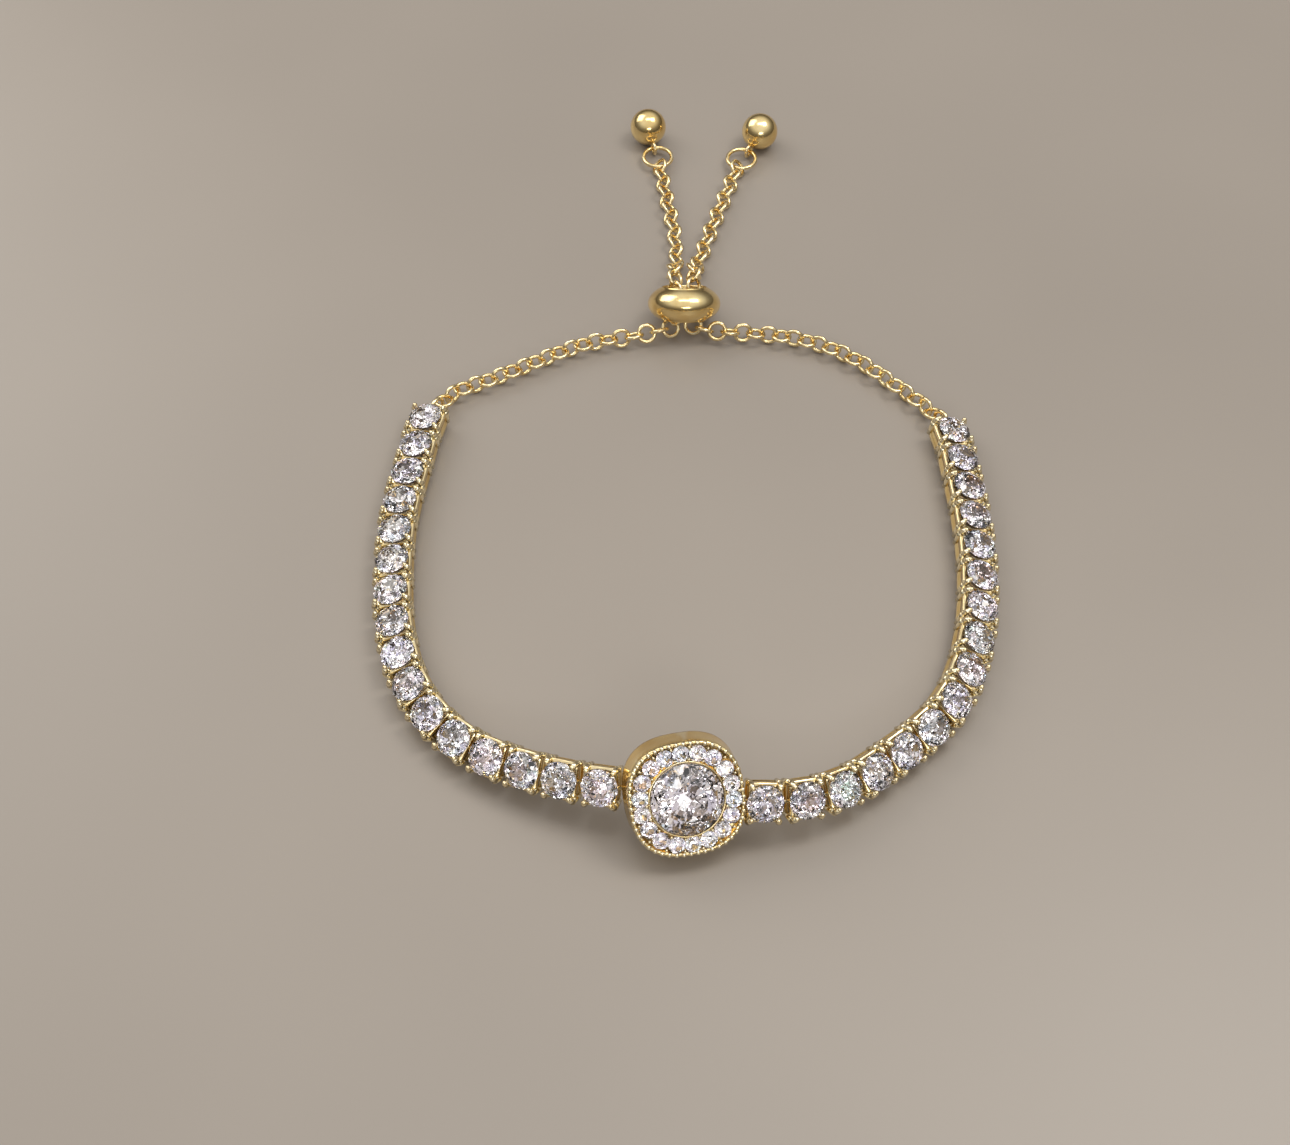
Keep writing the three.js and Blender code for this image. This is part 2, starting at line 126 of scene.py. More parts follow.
HALO_PLACE: Pair = (3.3, -25.65)
ROUTES = {
    Side.LEFT: HalfRoute(
        loop=(
            (-2.8, -25.1), (-9.3, -23.1), (-16.0, -19.6), (-20.2, -14.8), (-22.5, -8.4),
            (-23.3, -1.4), (-23.4, 5.0), (-22.4, 12.4), (-21.5, 17.8), (-20.0, 20.8),
            (-15.4, 23.4), (-11.3, 25.6), (-6.8, 28.0), (-1.7, 29.2), (1.2, 29.8),
        ),
        tail=((3.1, 39.0), (2.9, 44.9), (2.2, 49.5), (1.2, 56.2)),
        end_turn=-8,
    ),
    Side.RIGHT: HalfRoute(
        loop=(
            (9.7, -26.4), (16.1, -24.8), (21.7, -20.7), (26.8, -15.8), (29.5, -9.8),
            (30.75, -2.8), (31.0, 4.0), (30.5, 11.2), (29.9, 16.4), (28.5, 19.3),
            (25.0, 23.0), (20.8, 26.7), (16.3, 28.9), (11.0, 29.8), (6.8, 29.9),
        ),
        tail=((5.2, 39.0), (6.8, 44.9), (8.2, 49.5), (10.3, 56.1)),
        end_turn=15,
    ),
}


def band_value(column: str, share: float) -> float:
    """Reads the band table between its rows.

    Args:
        column: Name of the field to read.
        share: Share of the half band, from the halo outwards.

    Returns:
        The blended value.
    """
    after = next(i for i, row in enumerate(BAND_ROWS) if row.share >= share)
    low, high = BAND_ROWS[max(after, 1) - 1], BAND_ROWS[max(after, 1)]
    blend = (share - low.share) / (high.share - low.share)
    return getattr(low, column) * (1 - blend) + getattr(high, column) * blend


def frame_of(origin: Vector, x: Vector, y: Vector, z: Vector) -> Matrix:
    """Makes a place out of an origin and three axes.

    Args:
        origin: Where the place is.
        x: First axis.
        y: Second axis.
        z: Third axis.

    Returns:
        The matrix with the axes as its columns.
    """
    matrix = Matrix((x, y, z)).transposed().to_4x4()
    matrix.translation = origin
    return matrix


class SmoothRoute:
    """A centripetal curve through chosen points, read by the length along it."""

    def __init__(self, points: Sequence[Vector], samples: int = 160) -> None:
        """Samples the curve.

        Args:
            points: What the curve passes through.
            samples: Steps in each span between two points.
        """
        first = points[0] * 2 - points[1]
        last = points[-1] * 2 - points[-2]
        chain = [first, *points, last]
        self.places = [points[0].copy()]
        self.reached = [0.0]
        for i in range(len(points) - 1):
            span = self._span(*chain[i : i + 4])
            for step in range(1, samples + 1):
                place = span(step / samples)
                self.reached.append(self.reached[-1] + (place - self.places[-1]).length)
                self.places.append(place)

    @staticmethod
    def _span(p0: Vector, p1: Vector, p2: Vector, p3: Vector) -> Callable[[float], Vector]:
        """Fits the curve between the two middle points of four.

        Args:
            p0: Point before the span.
            p1: Its start.
            p2: Its end.
            p3: Point after it.

        Returns:
            The point at a share of the span.
        """
        d0, d1, d2 = ((b - a).length ** 0.5 for a, b in ((p0, p1), (p1, p2), (p2, p3)))
        start = ((p1 - p0) / d0 - (p2 - p0) / (d0 + d1) + (p2 - p1) / d1) * d1
        end = ((p2 - p1) / d1 - (p3 - p1) / (d1 + d2) + (p3 - p2) / d2) * d1
        square = p2 * 3 - p1 * 3 - start * 2 - end
        cube = p1 * 2 - p2 * 2 + start + end
        return lambda t: p1 + start * t + square * t * t + cube * t * t * t

    @property
    def whole(self) -> float:
        """The curve's length."""
        return self.reached[-1]

    def at(self, length: float) -> Vector:
        """Finds the point at a length along the curve.

        Args:
            length: The length from the start.

        Returns:
            The point.
        """
        i = min(max(bisect_right(self.reached, length), 1), len(self.reached) - 1)
        span = self.reached[i] - self.reached[i - 1]
        blend = min(max((length - self.reached[i - 1]) / span, 0.0), 1.0)
        return self.places[i - 1].lerp(self.places[i], blend)

    def walk(
        self, reached: float, place: Vector, distance: float, height: float | None = None
    ) -> tuple[float, Vector]:
        """Walks on to the first point that lies a straight distance from a place.

        Args:
            reached: Length along the curve to start from.
            place: What the distance is measured from.
            distance: The straight distance to reach.
            height: Height given to the walked points, or None for the curve's own.

        Returns:
            The length reached and the point there.
        """
        point = place
        while (point - place).length < distance and reached < self.whole:
            reached += WALK_STEP
            point = self.at(reached)
            if height is not None:
                point = Vector((point.x, point.y, height))
        return reached, point


@dataclass(frozen=True)
class LinkSizes:
    """Sizes of a basket and its round stone."""

    per_side: int = 16
    pitch: float = 3.5
    stone: float = 3.0
    rail: float = 0.35
    gap: float = 0.45
    depth: float = 2.4
    taper: float = 0.35
    end_taper: float = 0.08
    hinge_depth: float = 1.2
    eye_turn: float = 20

    @property
    def half_length(self) -> float:
        """Half the basket's length along the band."""
        return (self.pitch - self.gap) / 2

    @property
    def half_width(self) -> float:
        """Half the basket's width across the band."""
        return self.stone / 2 + self.rail

    def rest_height(self, lean: float) -> float:
        """Finds the height of the girdle's centre when a basket rests at a lean.

        Args:
            lean: How far the stone faces up, in degrees.

        Returns:
            The height.
        """
        angle = math.radians(lean)
        back = self.depth * math.sin(angle) + (self.half_width - self.taper) * math.cos(angle)
        return max(back, self.half_width * math.cos(angle))


@dataclass(frozen=True)
class HaloSizes:
    """Sizes of the cushion halo and the stone that it holds."""

    size: float = 9.8
    play: float = 0.15
    depth: float = 3.4
    flare: float = 0.12
    chamfer: float = 0.35
    bevel_depth: float = 0.6
    squareness: float = 2.6
    elevation: float = 44
    turn: float = 12
    forward: float = 1.0
    collar: float = 0.3
    seat_clearance: float = 0.15
    seat_bore: float = 4.6
    paved_stones: int = 18
    centre: float = 6.0

    @property
    def outer(self) -> float:
        """Half the halo's width at the face."""
        return self.size / 2

    @property
    def seat(self) -> float:
        """Radius of the centre stone's seat."""
        return self.centre / 2 + self.seat_clearance

    def cushion(self, angle: float) -> float:
        """Returns how much further out the cushion lies than a circle at an angle."""
        total = abs(math.cos(angle)) ** self.squareness + abs(math.sin(angle)) ** self.squareness
        return total ** (-1 / self.squareness)

    def height(self) -> float:
        """Finds the height of the face's centre when the halo rests on its back edge.

        Returns:
            The height.
        """
        angle = math.radians(self.elevation)
        corners = (
            (self.seat_bore / 2, -self.depth),
            (self.outer - self.chamfer, -self.depth),
            (self.outer + self.flare, self.bevel_depth - self.depth),
            (self.outer, 0.0),
        )
        return max(r * math.cos(angle) - h * math.sin(angle) for r, h in corners)


@dataclass(frozen=True)
class ChainSizes:
    """Sizes of the chain, the slider bead and the free ends."""

    wire: float = 0.4
    ring: float = 2.16
    sides: int = 10
    solder: float = 0.04
    loose: float = 0.12
    loop_roll: float = 10
    slider_roll: float = 45
    roll_change: float = 6
    loop_points: int = 7
    bore_clearance: float = 0.3
    bead_diameter: float = 7.5
    bead_length: float = 4.3
    bead_tilt: float = 50
    bead_place: Pair = (3.85, 32.2)
    overrun: float = 0.1
    lip_length: float = 1.4
    lip_rise: float = 0.1
    drop_length: float = 3.08
    drop_depth: float = 1.7
    drop_spread: float = 0.1
    mouth_rise: float = 0.3
    landing_rise: float = 0.35
    end_ring: float = 3.6
    end_wire: float = 0.44
    ball: float = 4.0
    ball_eye: float = 1.66
    ball_wire: float = 0.36

    @property
    def middle(self) -> float:
        """Radius of a chain link's wire."""
        return (self.ring - self.wire) / 2

    @property
    def hole(self) -> float:
        """Distance from a link's centre to its inner edge along the chain."""
        return (self.ring / 2 - self.wire) * math.cos(math.pi / self.sides)

    @property
    def pitch(self) -> float:
        """Distance between two links."""
        return 2 * self.hole + self.solder

    @property
    def spacing(self) -> float:
        """Distance between the two chains in the bead."""
        return 2 * (self.middle * math.sqrt(0.5) + self.wire / 2) + self.bore_clearance

    @property
    def bore(self) -> float:
        """Radius of the bead's bore."""
        half = self.middle * math.sqrt(0.5)
        return math.hypot(self.spacing / 2 + half, half) + self.wire / 2 + self.bore_clearance

    def lying_height(self, roll: float) -> float:
        """Returns the height of a chain that lies on the surface with its links at a roll in degrees."""
        angle = math.radians(roll)
        return self.middle * max(math.cos(angle), math.sin(angle)) + self.wire / 2


@dataclass
class HalfLayout:
    """Places of one half's links, chain links and free end, in the plan frame."""

    links: list[Matrix] = field(default_factory=list)
    chain: list[Matrix] = field(default_factory=list)
    end_ring: Matrix = field(default_factory=lambda: HERE.copy())
    ball: Vector = field(default_factory=Vector)
    ball_eye: Matrix = field(default_factory=lambda: HERE.copy())


@dataclass
class Layout:
    """Works out where every piece lies."""

    link: LinkSizes = field(default_factory=LinkSizes)
    halo: HaloSizes = field(default_factory=HaloSizes)
    chain: ChainSizes = field(default_factory=ChainSizes)

    def hinge_height(self, side: Side, share: float) -> float:
        """Finds the height of a hinge.

        Args:
            side: Which half.
            share: Share of the half band, from the halo outwards.

        Returns:
            The height.
        """
        angle = math.radians(self.halo.elevation)
        at_halo = self.halo.height() - (self.link.hinge_depth + self.halo.forward) * math.sin(angle)

        def rest(at: float) -> float:
            """Returns the height at which a basket rests there."""
            lean = band_value(side.value, at)
            return self.link.rest_height(lean) - self.link.hinge_depth * math.sin(math.radians(lean))

        return rest(share) + band_value("lift", share) * (at_halo - rest(0.0))

    def half(self, side: Side) -> HalfLayout:
        """Lays out one half.

        Args:
            side: Which half.

        Returns:
            The places of its pieces.
        """
        made = HalfLayout()
        points = [Vector((x, y, 0.0)) for x, y in (HALO_PLACE, *ROUTES[side].loop)]
        route = SmoothRoute(points)
        start_height = self.hinge_height(side, 0.0)
        centre = Vector((points[0].x, points[0].y, start_height))
        reached, hinge = route.walk(0.0, centre, self.halo.outer + self.halo.play, start_height)
        for k in range(self.link.per_side):
            height = self.hinge_height(side, (k + 1) / self.link.per_side)
            reached, after = route.walk(reached, hinge, self.link.pitch, height)
            lean = band_value(side.value, (k + 0.5) / self.link.per_side)
            made.links.append(self.link_place(hinge, after, side, lean))
            hinge = after
        start = made.links[-1] @ self.eye_place(side).translation
        centres = self.chain_centres(side, start, route, reached)
        made.chain = self.chain_places(side, centres)
        self.free_end(side, centres, made)
        return made

    def link_place(self, start: Vector, end: Vector, side: Side, lean: float) -> Matrix:
        """Places a link between two hinges.

        Args:
            start: Hinge nearer the halo.
            end: Hinge nearer the chain.
            side: Which half.
            lean: How far the stone faces up, in degrees.

        Returns:
            The place, with x along the band and z out of the stone.
        """
        angle = math.radians(lean)
        along = (end - start).normalized()
        outward = (along.cross(UP) * side.sign).normalized()
        facing = outward * math.cos(angle) + UP * math.sin(angle)
        facing = (facing - along * facing.dot(along)).normalized()
        middle = (start + end) / 2 + facing * self.link.hinge_depth
        return frame_of(middle, along, facing.cross(along), facing)

    def eye_place(self, side: Side) -> Matrix:
        """Places an end basket's eye.

        Args:
            side: Which half.

        Returns:
            The place in the basket, with the eye's axis along z.
        """
        turn = math.radians(self.link.eye_turn) * side.sign
        reach = self.chain.middle - self.chain.wire / 4
        x = self.link.half_length + reach * math.cos(turn)
        spot = Matrix.Translation((x, reach * math.sin(turn), -self.link.hinge_depth))
        return spot @ Matrix.Rotation(turn, 4, "Z") @ Matrix.Rotation(math.pi / 2, 4, "X")

    def bead_place(self) -> Matrix:
        """Places the slider bead.

        Returns:
            The place, with its bore along z.
        """
        size = self.chain
        angle = math.radians(size.bead_tilt)
        axis = Vector((0.0, math.cos(angle), math.sin(angle)))
        across = Vector((1.0, 0.0, 0.0))
        height = math.hypot(
            size.bead_diameter / 2 * math.cos(angle), size.bead_length / 2 * math.sin(angle)
        )
        centre = Vector((*size.bead_place, height))
        return frame_of(centre, across, axis.cross(across), axis)

    def halo_place(self) -> Matrix:
        """Places the halo.

        Returns:
            The place, with z out of its face.
        """
        turn, rise = math.radians(self.halo.turn), math.radians(self.halo.elevation)
        facing = Vector((math.sin(turn) * math.cos(rise), -math.cos(turn) * math.cos(rise), math.sin(rise)))
        along = UP.cross(facing).normalized()
        ahead = self.link.hinge_depth + self.halo.forward
        centre = Vector((*HALO_PLACE, 0.0)) + Vector((facing.x, facing.y, 0.0)) * ahead
        centre.z = self.halo.height()
        return frame_of(centre, along, facing.cross(along), facing)

    def chain_centres(self, side: Side, start: Vector, band: SmoothRoute, reached: float) -> list[Vector]:
        """Finds the centres of a chain's links.

        Args:
            side: Which half.
            start: Centre of the end basket's eye.
            band: The half's curve seen from above.
            reached: Length of the band along it.

        Returns:
            The centres, the eye's first.
        """
        size = self.chain
        low, lying = size.lying_height(size.loop_roll), size.lying_height(size.slider_roll)
        points = [start]
        for j in range(1, size.loop_points + 1):
            place = band.at(reached + (band.whole - reached) * j / size.loop_points)
            place.z = low + (size.mouth_rise if j == size.loop_points else 0.0)
            points.append(place)
        bead = self.bead_place()
        bore = size.bead_length / 2 + size.overrun
        for height in (-bore, 0.0, bore):
            points.append(bead @ Vector((side.sign * size.spacing / 2, 0.0, height)))
        leaving = points[-1]
        points.append(leaving + Vector((0.0, size.lip_length, size.lip_rise)))
        points.append(leaving + Vector((side.sign * size.drop_spread, size.drop_length, -size.drop_depth)))
        for index, (x, y) in enumerate(ROUTES[side].tail):
            points.append(Vector((x, y, lying + (0.0 if index else size.landing_rise))))
        route = SmoothRoute(points)
        centres, along, step = [start], 0.0, size.pitch - size.solder - size.loose
        while along + size.pitch < route.whole:
            along, point = route.walk(along, centres[-1], step)
            centres.append(point)
            step = size.pitch
        return centres

    def chain_places(self, side: Side, centres: Sequence[Vector]) -> list[Matrix]:
        """Turns every second link of a chain by a right angle, and twists the chain along its way.

        Args:
            side: Which half.
            centres: The centres, the eye's first.

        Returns:
            The place of each link.
        """
        size = self.chain
        bead = Vector(size.bead_place)
        near = (i for i, c in enumerate(centres) if (c.xy - bead).length < size.bead_diameter / 2)
        slider = next(near)
        eye_tilt = 90 - band_value(side.value, 1.0)
        places = []
        for i in range(1, len(centres)):
            after = centres[min(i + 1, len(centres) - 1)]
            along = (after - centres[i - 1]).normalized()
            right = along.cross(UP).normalized()
            spot = frame_of(centres[i], along, -right, right.cross(along))
            to_bead = min(size.slider_roll, size.slider_roll - (slider - i) * size.roll_change)
            roll = max(eye_tilt - i * size.roll_change, size.loop_roll, to_bead) + (i + 1) % 2 * 90
            places.append(spot @ Matrix.Rotation(side.sign * math.radians(roll), 4, "X"))
        return places

    def free_end(self, side: Side, centres: Sequence[Vector], made: HalfLayout) -> None:
        """Places the ring, the ball and the ball's eye beyond the last chain link.

        Args:
            side: Which half.
            centres: The chain links' centres.
            made: The half that takes the places.
        """
        size = self.chain
        last = centres[-1]
        along = last - centres[-2]
        along.z = 0.0
        along.normalize()
        middle = (size.end_ring - size.end_wire) / 2
        ring = last + along * (size.hole - size.end_wire - size.loose + middle)
        made.end_ring = Matrix.Translation(ring)
        turn = Matrix.Rotation(math.radians(-ROUTES[side].end_turn), 3, "Z")
        away = turn @ along
        eye = ring + away * middle
        made.ball_eye = frame_of(eye, away, UP, away.cross(UP))
        reach = size.ball / 2 + (size.ball_eye - size.ball_wire) / 2 - size.ball_wire / 4
        rise = size.ball / 2 - eye.z
        made.ball = eye + away * math.sqrt(reach**2 - rise**2)
        made.ball.z = size.ball / 2


def fill_ramp(node: bpy.types.Node, stops: Stops) -> None:
    """Gives a colour ramp its positions and colours.

    Args:
        node: The ramp.
        stops: Positions and colours.
    """
    elements = node.color_ramp.elements
    while len(elements) < len(stops):
        elements.new(1.0)
    for element, (position, colour) in zip(elements, stops):
        element.position = position
        element.color = (*colour, 1.0)


class NodeBench:
    """Adds and joins the nodes of one material."""

    def __init__(self, name: str) -> None:
        """Starts an empty node material.

        Args:
            name: The material's name.
        """
        self.material = bpy.data.materials.new(name)
        self.material.use_nodes = True
        self.tree = self.material.node_tree
        self.tree.nodes.clear()
        self.shader = self.add("ShaderNodeBsdfPrincipled")
        output = self.add("ShaderNodeOutputMaterial")
        self.join(self.shader, "BSDF", output, "Surface")
        self.place = self.add("ShaderNodeTexCoord")

    def add(self, kind: str, **settings: object) -> bpy.types.Node:
        """Adds a node and sets its properties.

        Args:
            kind: Its type.
            **settings: Its properties.

        Returns:
            The node.
        """
        node = self.tree.nodes.new(kind)
        for name, value in settings.items():
            setattr(node, name, value)
        return node

    def join(self, start: bpy.types.Node, output: str | int, end: bpy.types.Node, socket: str | int) -> None:
        """Links an output to an input."""
        self.tree.links.new(start.outputs[output], end.inputs[socket])

    def noise(self, scale: float, detail: float = 3.0, roughness: float = 0.55) -> bpy.types.Node:
        """Adds a noise texture on object coordinates.

        Args:
            scale: How fine it is.
            detail: Its detail.
            roughness: Its roughness.

        Returns:
            The node.
        """
        node = self.add("ShaderNodeTexNoise")
        node.inputs["Scale"].default_value = scale
        node.inputs["Detail"].default_value = detail
        node.inputs["Roughness"].default_value = roughness
        self.join(self.place, "Object", node, "Vector")
        return node

    def ramp(
        self, source: bpy.types.Node, output: str, stops: Stops, hard: bool = False
    ) -> bpy.types.Node:
        """Maps a value to colours.

        Args:
            source: Node that gives the value.
            output: Its output.
            stops: Positions and colours.
            hard: True to step between the colours.

        Returns:
            The node.
        """
        node = self.add("ShaderNodeValToRGB")
        fill_ramp(node, stops)
        node.color_ramp.interpolation = "CONSTANT" if hard else "LINEAR"
        self.join(source, output, node, "Fac")
        return node

    def spread(self, source: bpy.types.Node, output: str, low: float, high: float) -> bpy.types.Node:
        """Maps a value between nought and one to a range.

        Args:
            source: Node that gives the value.
            output: Its output.
            low: What nought becomes.
            high: What one becomes.

        Returns:
            The node.
        """
        node = self.add("ShaderNodeMapRange")
        node.inputs["To Min"].default_value = low
        node.inputs["To Max"].default_value = high
        self.join(source, output, node, "Value")
        return node

    def bump(self, source: bpy.types.Node, output: str, strength: float, distance: float) -> bpy.types.Node:
        """Raises the surface by a value.

        Args:
            source: Node that gives the value.
            output: Its output.
            strength: How much of the bump shows.
            distance: Its depth in metres.

        Returns:
            The node.
        """
        node = self.add("ShaderNodeBump")
        node.inputs["Strength"].default_value = strength
        node.inputs["Distance"].default_value = distance
        self.join(source, output, node, "Height")
        self.join(node, "Normal", self.shader, "Normal")
        return node

    def sparkle(self, ground: bpy.types.Node, scale: float, lean: float) -> None:
        """Leans the normal a different way in each small cell.

        Args:
            ground: Node that gives the normal.
            scale: How fine the cells are.
            lean: How far the normal leans.
        """
        cells = self.add("ShaderNodeTexVoronoi", voronoi_dimensions="3D", feature="F1")
        cells.inputs["Scale"].default_value = scale
        self.join(self.place, "Object", cells, "Vector")
        centred = self.add("ShaderNodeVectorMath", operation="SUBTRACT")
        centred.inputs[1].default_value = (0.5, 0.5, 0.5)
        self.join(cells, "Color", centred, 0)
        leant = self.add("ShaderNodeVectorMath", operation="SCALE")
        leant.inputs["Scale"].default_value = lean
        self.join(centred, "Vector", leant, 0)
        summed = self.add("ShaderNodeVectorMath", operation="ADD")
        self.join(ground, "Normal", summed, 0)
        self.join(leant, "Vector", summed, 1)
        unit = self.add("ShaderNodeVectorMath", operation="NORMALIZE")
        self.join(summed, "Vector", unit, 0)
        self.join(unit, "Vector", self.shader, "Normal")

    def blend(
        self, factor: tuple[bpy.types.Node, str], first: bpy.types.Node, second: Colour
    ) -> bpy.types.Node:
        """Mixes a node's colour with a plain one.

        Args:
            factor: Node and output that give the share.
            first: Node of the first colour.
            second: The plain colour.

        Returns:
            The node.
        """
        node = self.add("ShaderNodeMix", data_type="RGBA")
        self.join(*factor, node, 0)
        self.join(first, "Color", node, 6)
        node.inputs[7].default_value = (*second, 1.0)
        return node


@dataclass(frozen=True)
class GoldPlate:
    """Polished pale gold plate, a little uneven, with a painted highlight that brightens its convex edges.
    """

    name: str = "polished_gold_plate"
    pale: Colour = (0.97, 0.78, 0.40)
    deep: Colour = (0.84, 0.60, 0.24)
    # Painted highlight: near-white colour laid on the convex edges, where they would catch the light.
    edge_highlight: Colour = (1.0, 0.93, 0.70)
    smoothest: float = 0.10
    roughest: float = 0.26
    patch_scale: float = 420.0
    grain_scale: float = 5200.0
    grain_depth: float = 0.00001
    grain_strength: float = 0.25
    patch_steps: Pair = (0.35, 0.65)
    # Pointiness stops of the painted edge highlight: how much of the highlight colour shows.
    edge_highlight_stops: Stops = ((0.52, (0.0, 0.0, 0.0)), (0.62, (0.7, 0.7, 0.7)))

    def build(self) -> bpy.types.Material:
        """Builds the finish.

        Returns:
            The material.
        """
        bench = NodeBench(self.name)
        patches = bench.noise(self.patch_scale, 4.0)
        grain = bench.noise(self.grain_scale, 2.0, 0.7)
        tint = bench.ramp(patches, "Fac", tuple(zip(self.patch_steps, (self.deep, self.pale))))
        shape = bench.add("ShaderNodeNewGeometry")
        # Painted highlight: the near-white colour is mixed into the gold where the surface is most convex.
        edges = bench.ramp(shape, "Pointiness", self.edge_highlight_stops)
        edge_highlighted = bench.blend((edges, "Color"), tint, self.edge_highlight)
        bench.join(edge_highlighted, 2, bench.shader, "Base Color")
        gloss = bench.spread(patches, "Fac", self.smoothest, self.roughest)
        bench.join(gloss, "Result", bench.shader, "Roughness")
        bench.bump(grain, "Fac", self.grain_strength, self.grain_depth)
        bench.shader.inputs["Metallic"].default_value = 1.0
        return bench.material


@dataclass(frozen=True)
class CutStone:
    """Clear cut stone whose facets are painted white, lavender and a few other colours that stand in for
    glints of light.
    """

    name: str = "clear_cut_stone"
    # Painted glints: colours given to the facets at random, in place of the white and coloured flashes of
    # light that a cut stone throws.
    glint_colours: Stops = (
        (0.0, (1.0, 0.99, 0.98)),
        (0.28, (0.92, 0.88, 0.99)),
        (0.46, (1.0, 0.93, 0.83)),
        (0.60, (0.80, 0.75, 0.98)),
        (0.74, (1.0, 0.81, 0.84)),
        (0.92, (0.72, 0.84, 1.0)),
        (0.975, (0.80, 1.0, 0.88)),
    )
    ior: float = 1.95
    smoothest: float = 0.0
    roughest: float = 0.03
    haze_scale: float = 900.0
    polish_scale: float = 2600.0
    polish_depth: float = 0.000004
    polish_strength: float = 0.2
    sparkle_scale: float = 2000.0
    sparkle_lean: float = 0.55

    def build(self) -> bpy.types.Material:
        """Builds the finish.

        Returns:
            The material.
        """
        bench = NodeBench(self.name)
        facet = bench.add("ShaderNodeAttribute", attribute_name="facet")
        # Painted glints: each facet's random number picks one of the glint colours.
        tint = bench.ramp(facet, "Fac", self.glint_colours, hard=True)
        bench.join(tint, "Color", bench.shader, "Base Color")
        haze = bench.noise(self.haze_scale)
        gloss = bench.spread(haze, "Fac", self.smoothest, self.roughest)
        bench.join(gloss, "Result", bench.shader, "Roughness")
        polish = bench.noise(self.polish_scale)
        polished = bench.bump(polish, "Fac", self.polish_strength, self.polish_depth)
        bench.sparkle(polished, self.sparkle_scale, self.sparkle_lean)
        bench.shader.inputs["IOR"].default_value = self.ior
        bench.shader.inputs["Transmission Weight"].default_value = 1.0
        return bench.material


LARGE_STONE = CutStone(
    name="large_cut_stone",
    # Painted glints and reflections: the large stone's facets get pale and mauve colours in place of the
    # light and surroundings they would show.
    glint_colours=(
        (0.0, (0.96, 0.90, 0.88)),
        (0.25, (0.84, 0.76, 0.80)),
        (0.45, (0.98, 0.88, 0.78)),
        (0.60, (0.80, 0.76, 0.96)),
        (0.78, (0.92, 0.80, 0.78)),
        (0.90, (0.80, 0.90, 0.98)),
    ),
    sparkle_scale=1150.0,
    sparkle_lean=0.42,
)
SMALL_STONES = CutStone(name="small_cut_stones", sparkle_lean=0.24)


@dataclass(frozen=True)
class PaleSurface:
    """Satin warm grey surface."""

    name: str = "pale_satin_surface"
    light: Colour = (0.345, 0.302, 0.256)
    dark: Colour = (0.300, 0.262, 0.222)
    roughness: Pair = (0.32, 0.42)
    cloud_scale: float = 9.0
    grain_scale: float = 1400.0
    grain_depth: float = 0.00002
    grain_strength: float = 0.05
    cloud_steps: Pair = (0.3, 0.7)

    def build(self) -> bpy.types.Material:
        """Builds the finish.

        Returns:
            The material.
        """
        bench = NodeBench(self.name)
        clouds = bench.noise(self.cloud_scale)
        tint = bench.ramp(clouds, "Fac", tuple(zip(self.cloud_steps, (self.dark, self.light))))
        bench.join(tint, "Color", bench.shader, "Base Color")
        gloss = bench.spread(clouds, "Fac", *self.roughness)
        bench.join(gloss, "Result", bench.shader, "Roughness")
        grain = bench.noise(self.grain_scale)
        bench.bump(grain, "Fac", self.grain_strength, self.grain_depth)
        return bench.material


class Shape:
    """Gathers closed bodies in millimetres into one mesh."""

    def __init__(self) -> None:
        """Starts with nothing in it."""
        self.bm = bmesh.new()
        self.bm.faces.layers.float.new("facet")

    def take(self, body: bmesh.types.BMesh, place: Matrix = HERE, smooth: bool = True) -> None:
        """Adds a body at a place and frees it.

        Args:
            body: The body, whose normals are worked out here.
            place: Where it goes.
            smooth: True for smooth shading, False for facets.
        """
        if "facet" not in body.faces.layers.float:
            body.faces.layers.float.new("facet")
        bmesh.ops.transform(body, matrix=place, verts=body.verts)
        bmesh.ops.recalc_face_normals(body, faces=body.faces)
        for face in body.faces:
            face.smooth = smooth
        mesh = bpy.data.meshes.new("body")
        body.to_mesh(mesh)
        body.free()
        self.bm.from_mesh(mesh)
        bpy.data.meshes.remove(mesh)

    def mesh(self, name: str) -> bpy.types.Mesh:
        """Turns what was gathered into a mesh.

        Args:
            name: The mesh's name.

        Returns:
            The mesh, in millimetres.
        """
        made = bpy.data.meshes.new(name)
        self.bm.to_mesh(made)
        self.bm.free()
        return made


def spun(profile: Sequence[Pair], steps: int) -> bmesh.types.BMesh:
    """Spins a closed profile about z.

    Args:
        profile: Radius and height of its corners, in order.
        steps: Sides of the body.

    Returns:
        The body.
    """
    bm = bmesh.new()
    corners = [bm.verts.new((radius, 0.0, height)) for radius, height in profile]
    edges = [bm.edges.new((corners[i - 1], corners[i])) for i in range(len(corners))]
    bmesh.ops.spin(
        bm,
        geom=[*corners, *edges],
        cent=(0, 0, 0),
        axis=(0, 0, 1),
        angle=math.tau,
        steps=steps,
        use_merge=True,
    )
    bmesh.ops.remove_doubles(bm, verts=bm.verts, dist=MERGE)
    return bm


def torus(middle: float, wire: float, sides: int = 28, wire_sides: int = 10) -> bmesh.types.BMesh:
    """Makes a ring of round wire about z.

    Args:
        middle: Radius of the wire's centre line.
        wire: Diameter of the wire.
        sides: Sides round the ring.
        wire_sides: Sides round the wire.

    Returns:
        The ring.
    """
    turns = [math.tau * i / wire_sides for i in range(wire_sides)]
    profile = [(middle + wire / 2 * math.cos(a), wire / 2 * math.sin(a)) for a in turns]
    return spun(profile, sides)


def ball(radius: float, around: int = 10, down: int = 6) -> bmesh.types.BMesh:
    """Makes a sphere about the origin.

    Args:
        radius: Its radius.
        around: Sides round it.
        down: Steps from pole to pole.

    Returns:
        The sphere.
    """
    bm = bmesh.new()
    bmesh.ops.create_uvsphere(bm, u_segments=around, v_segments=down, radius=radius)
    return bm


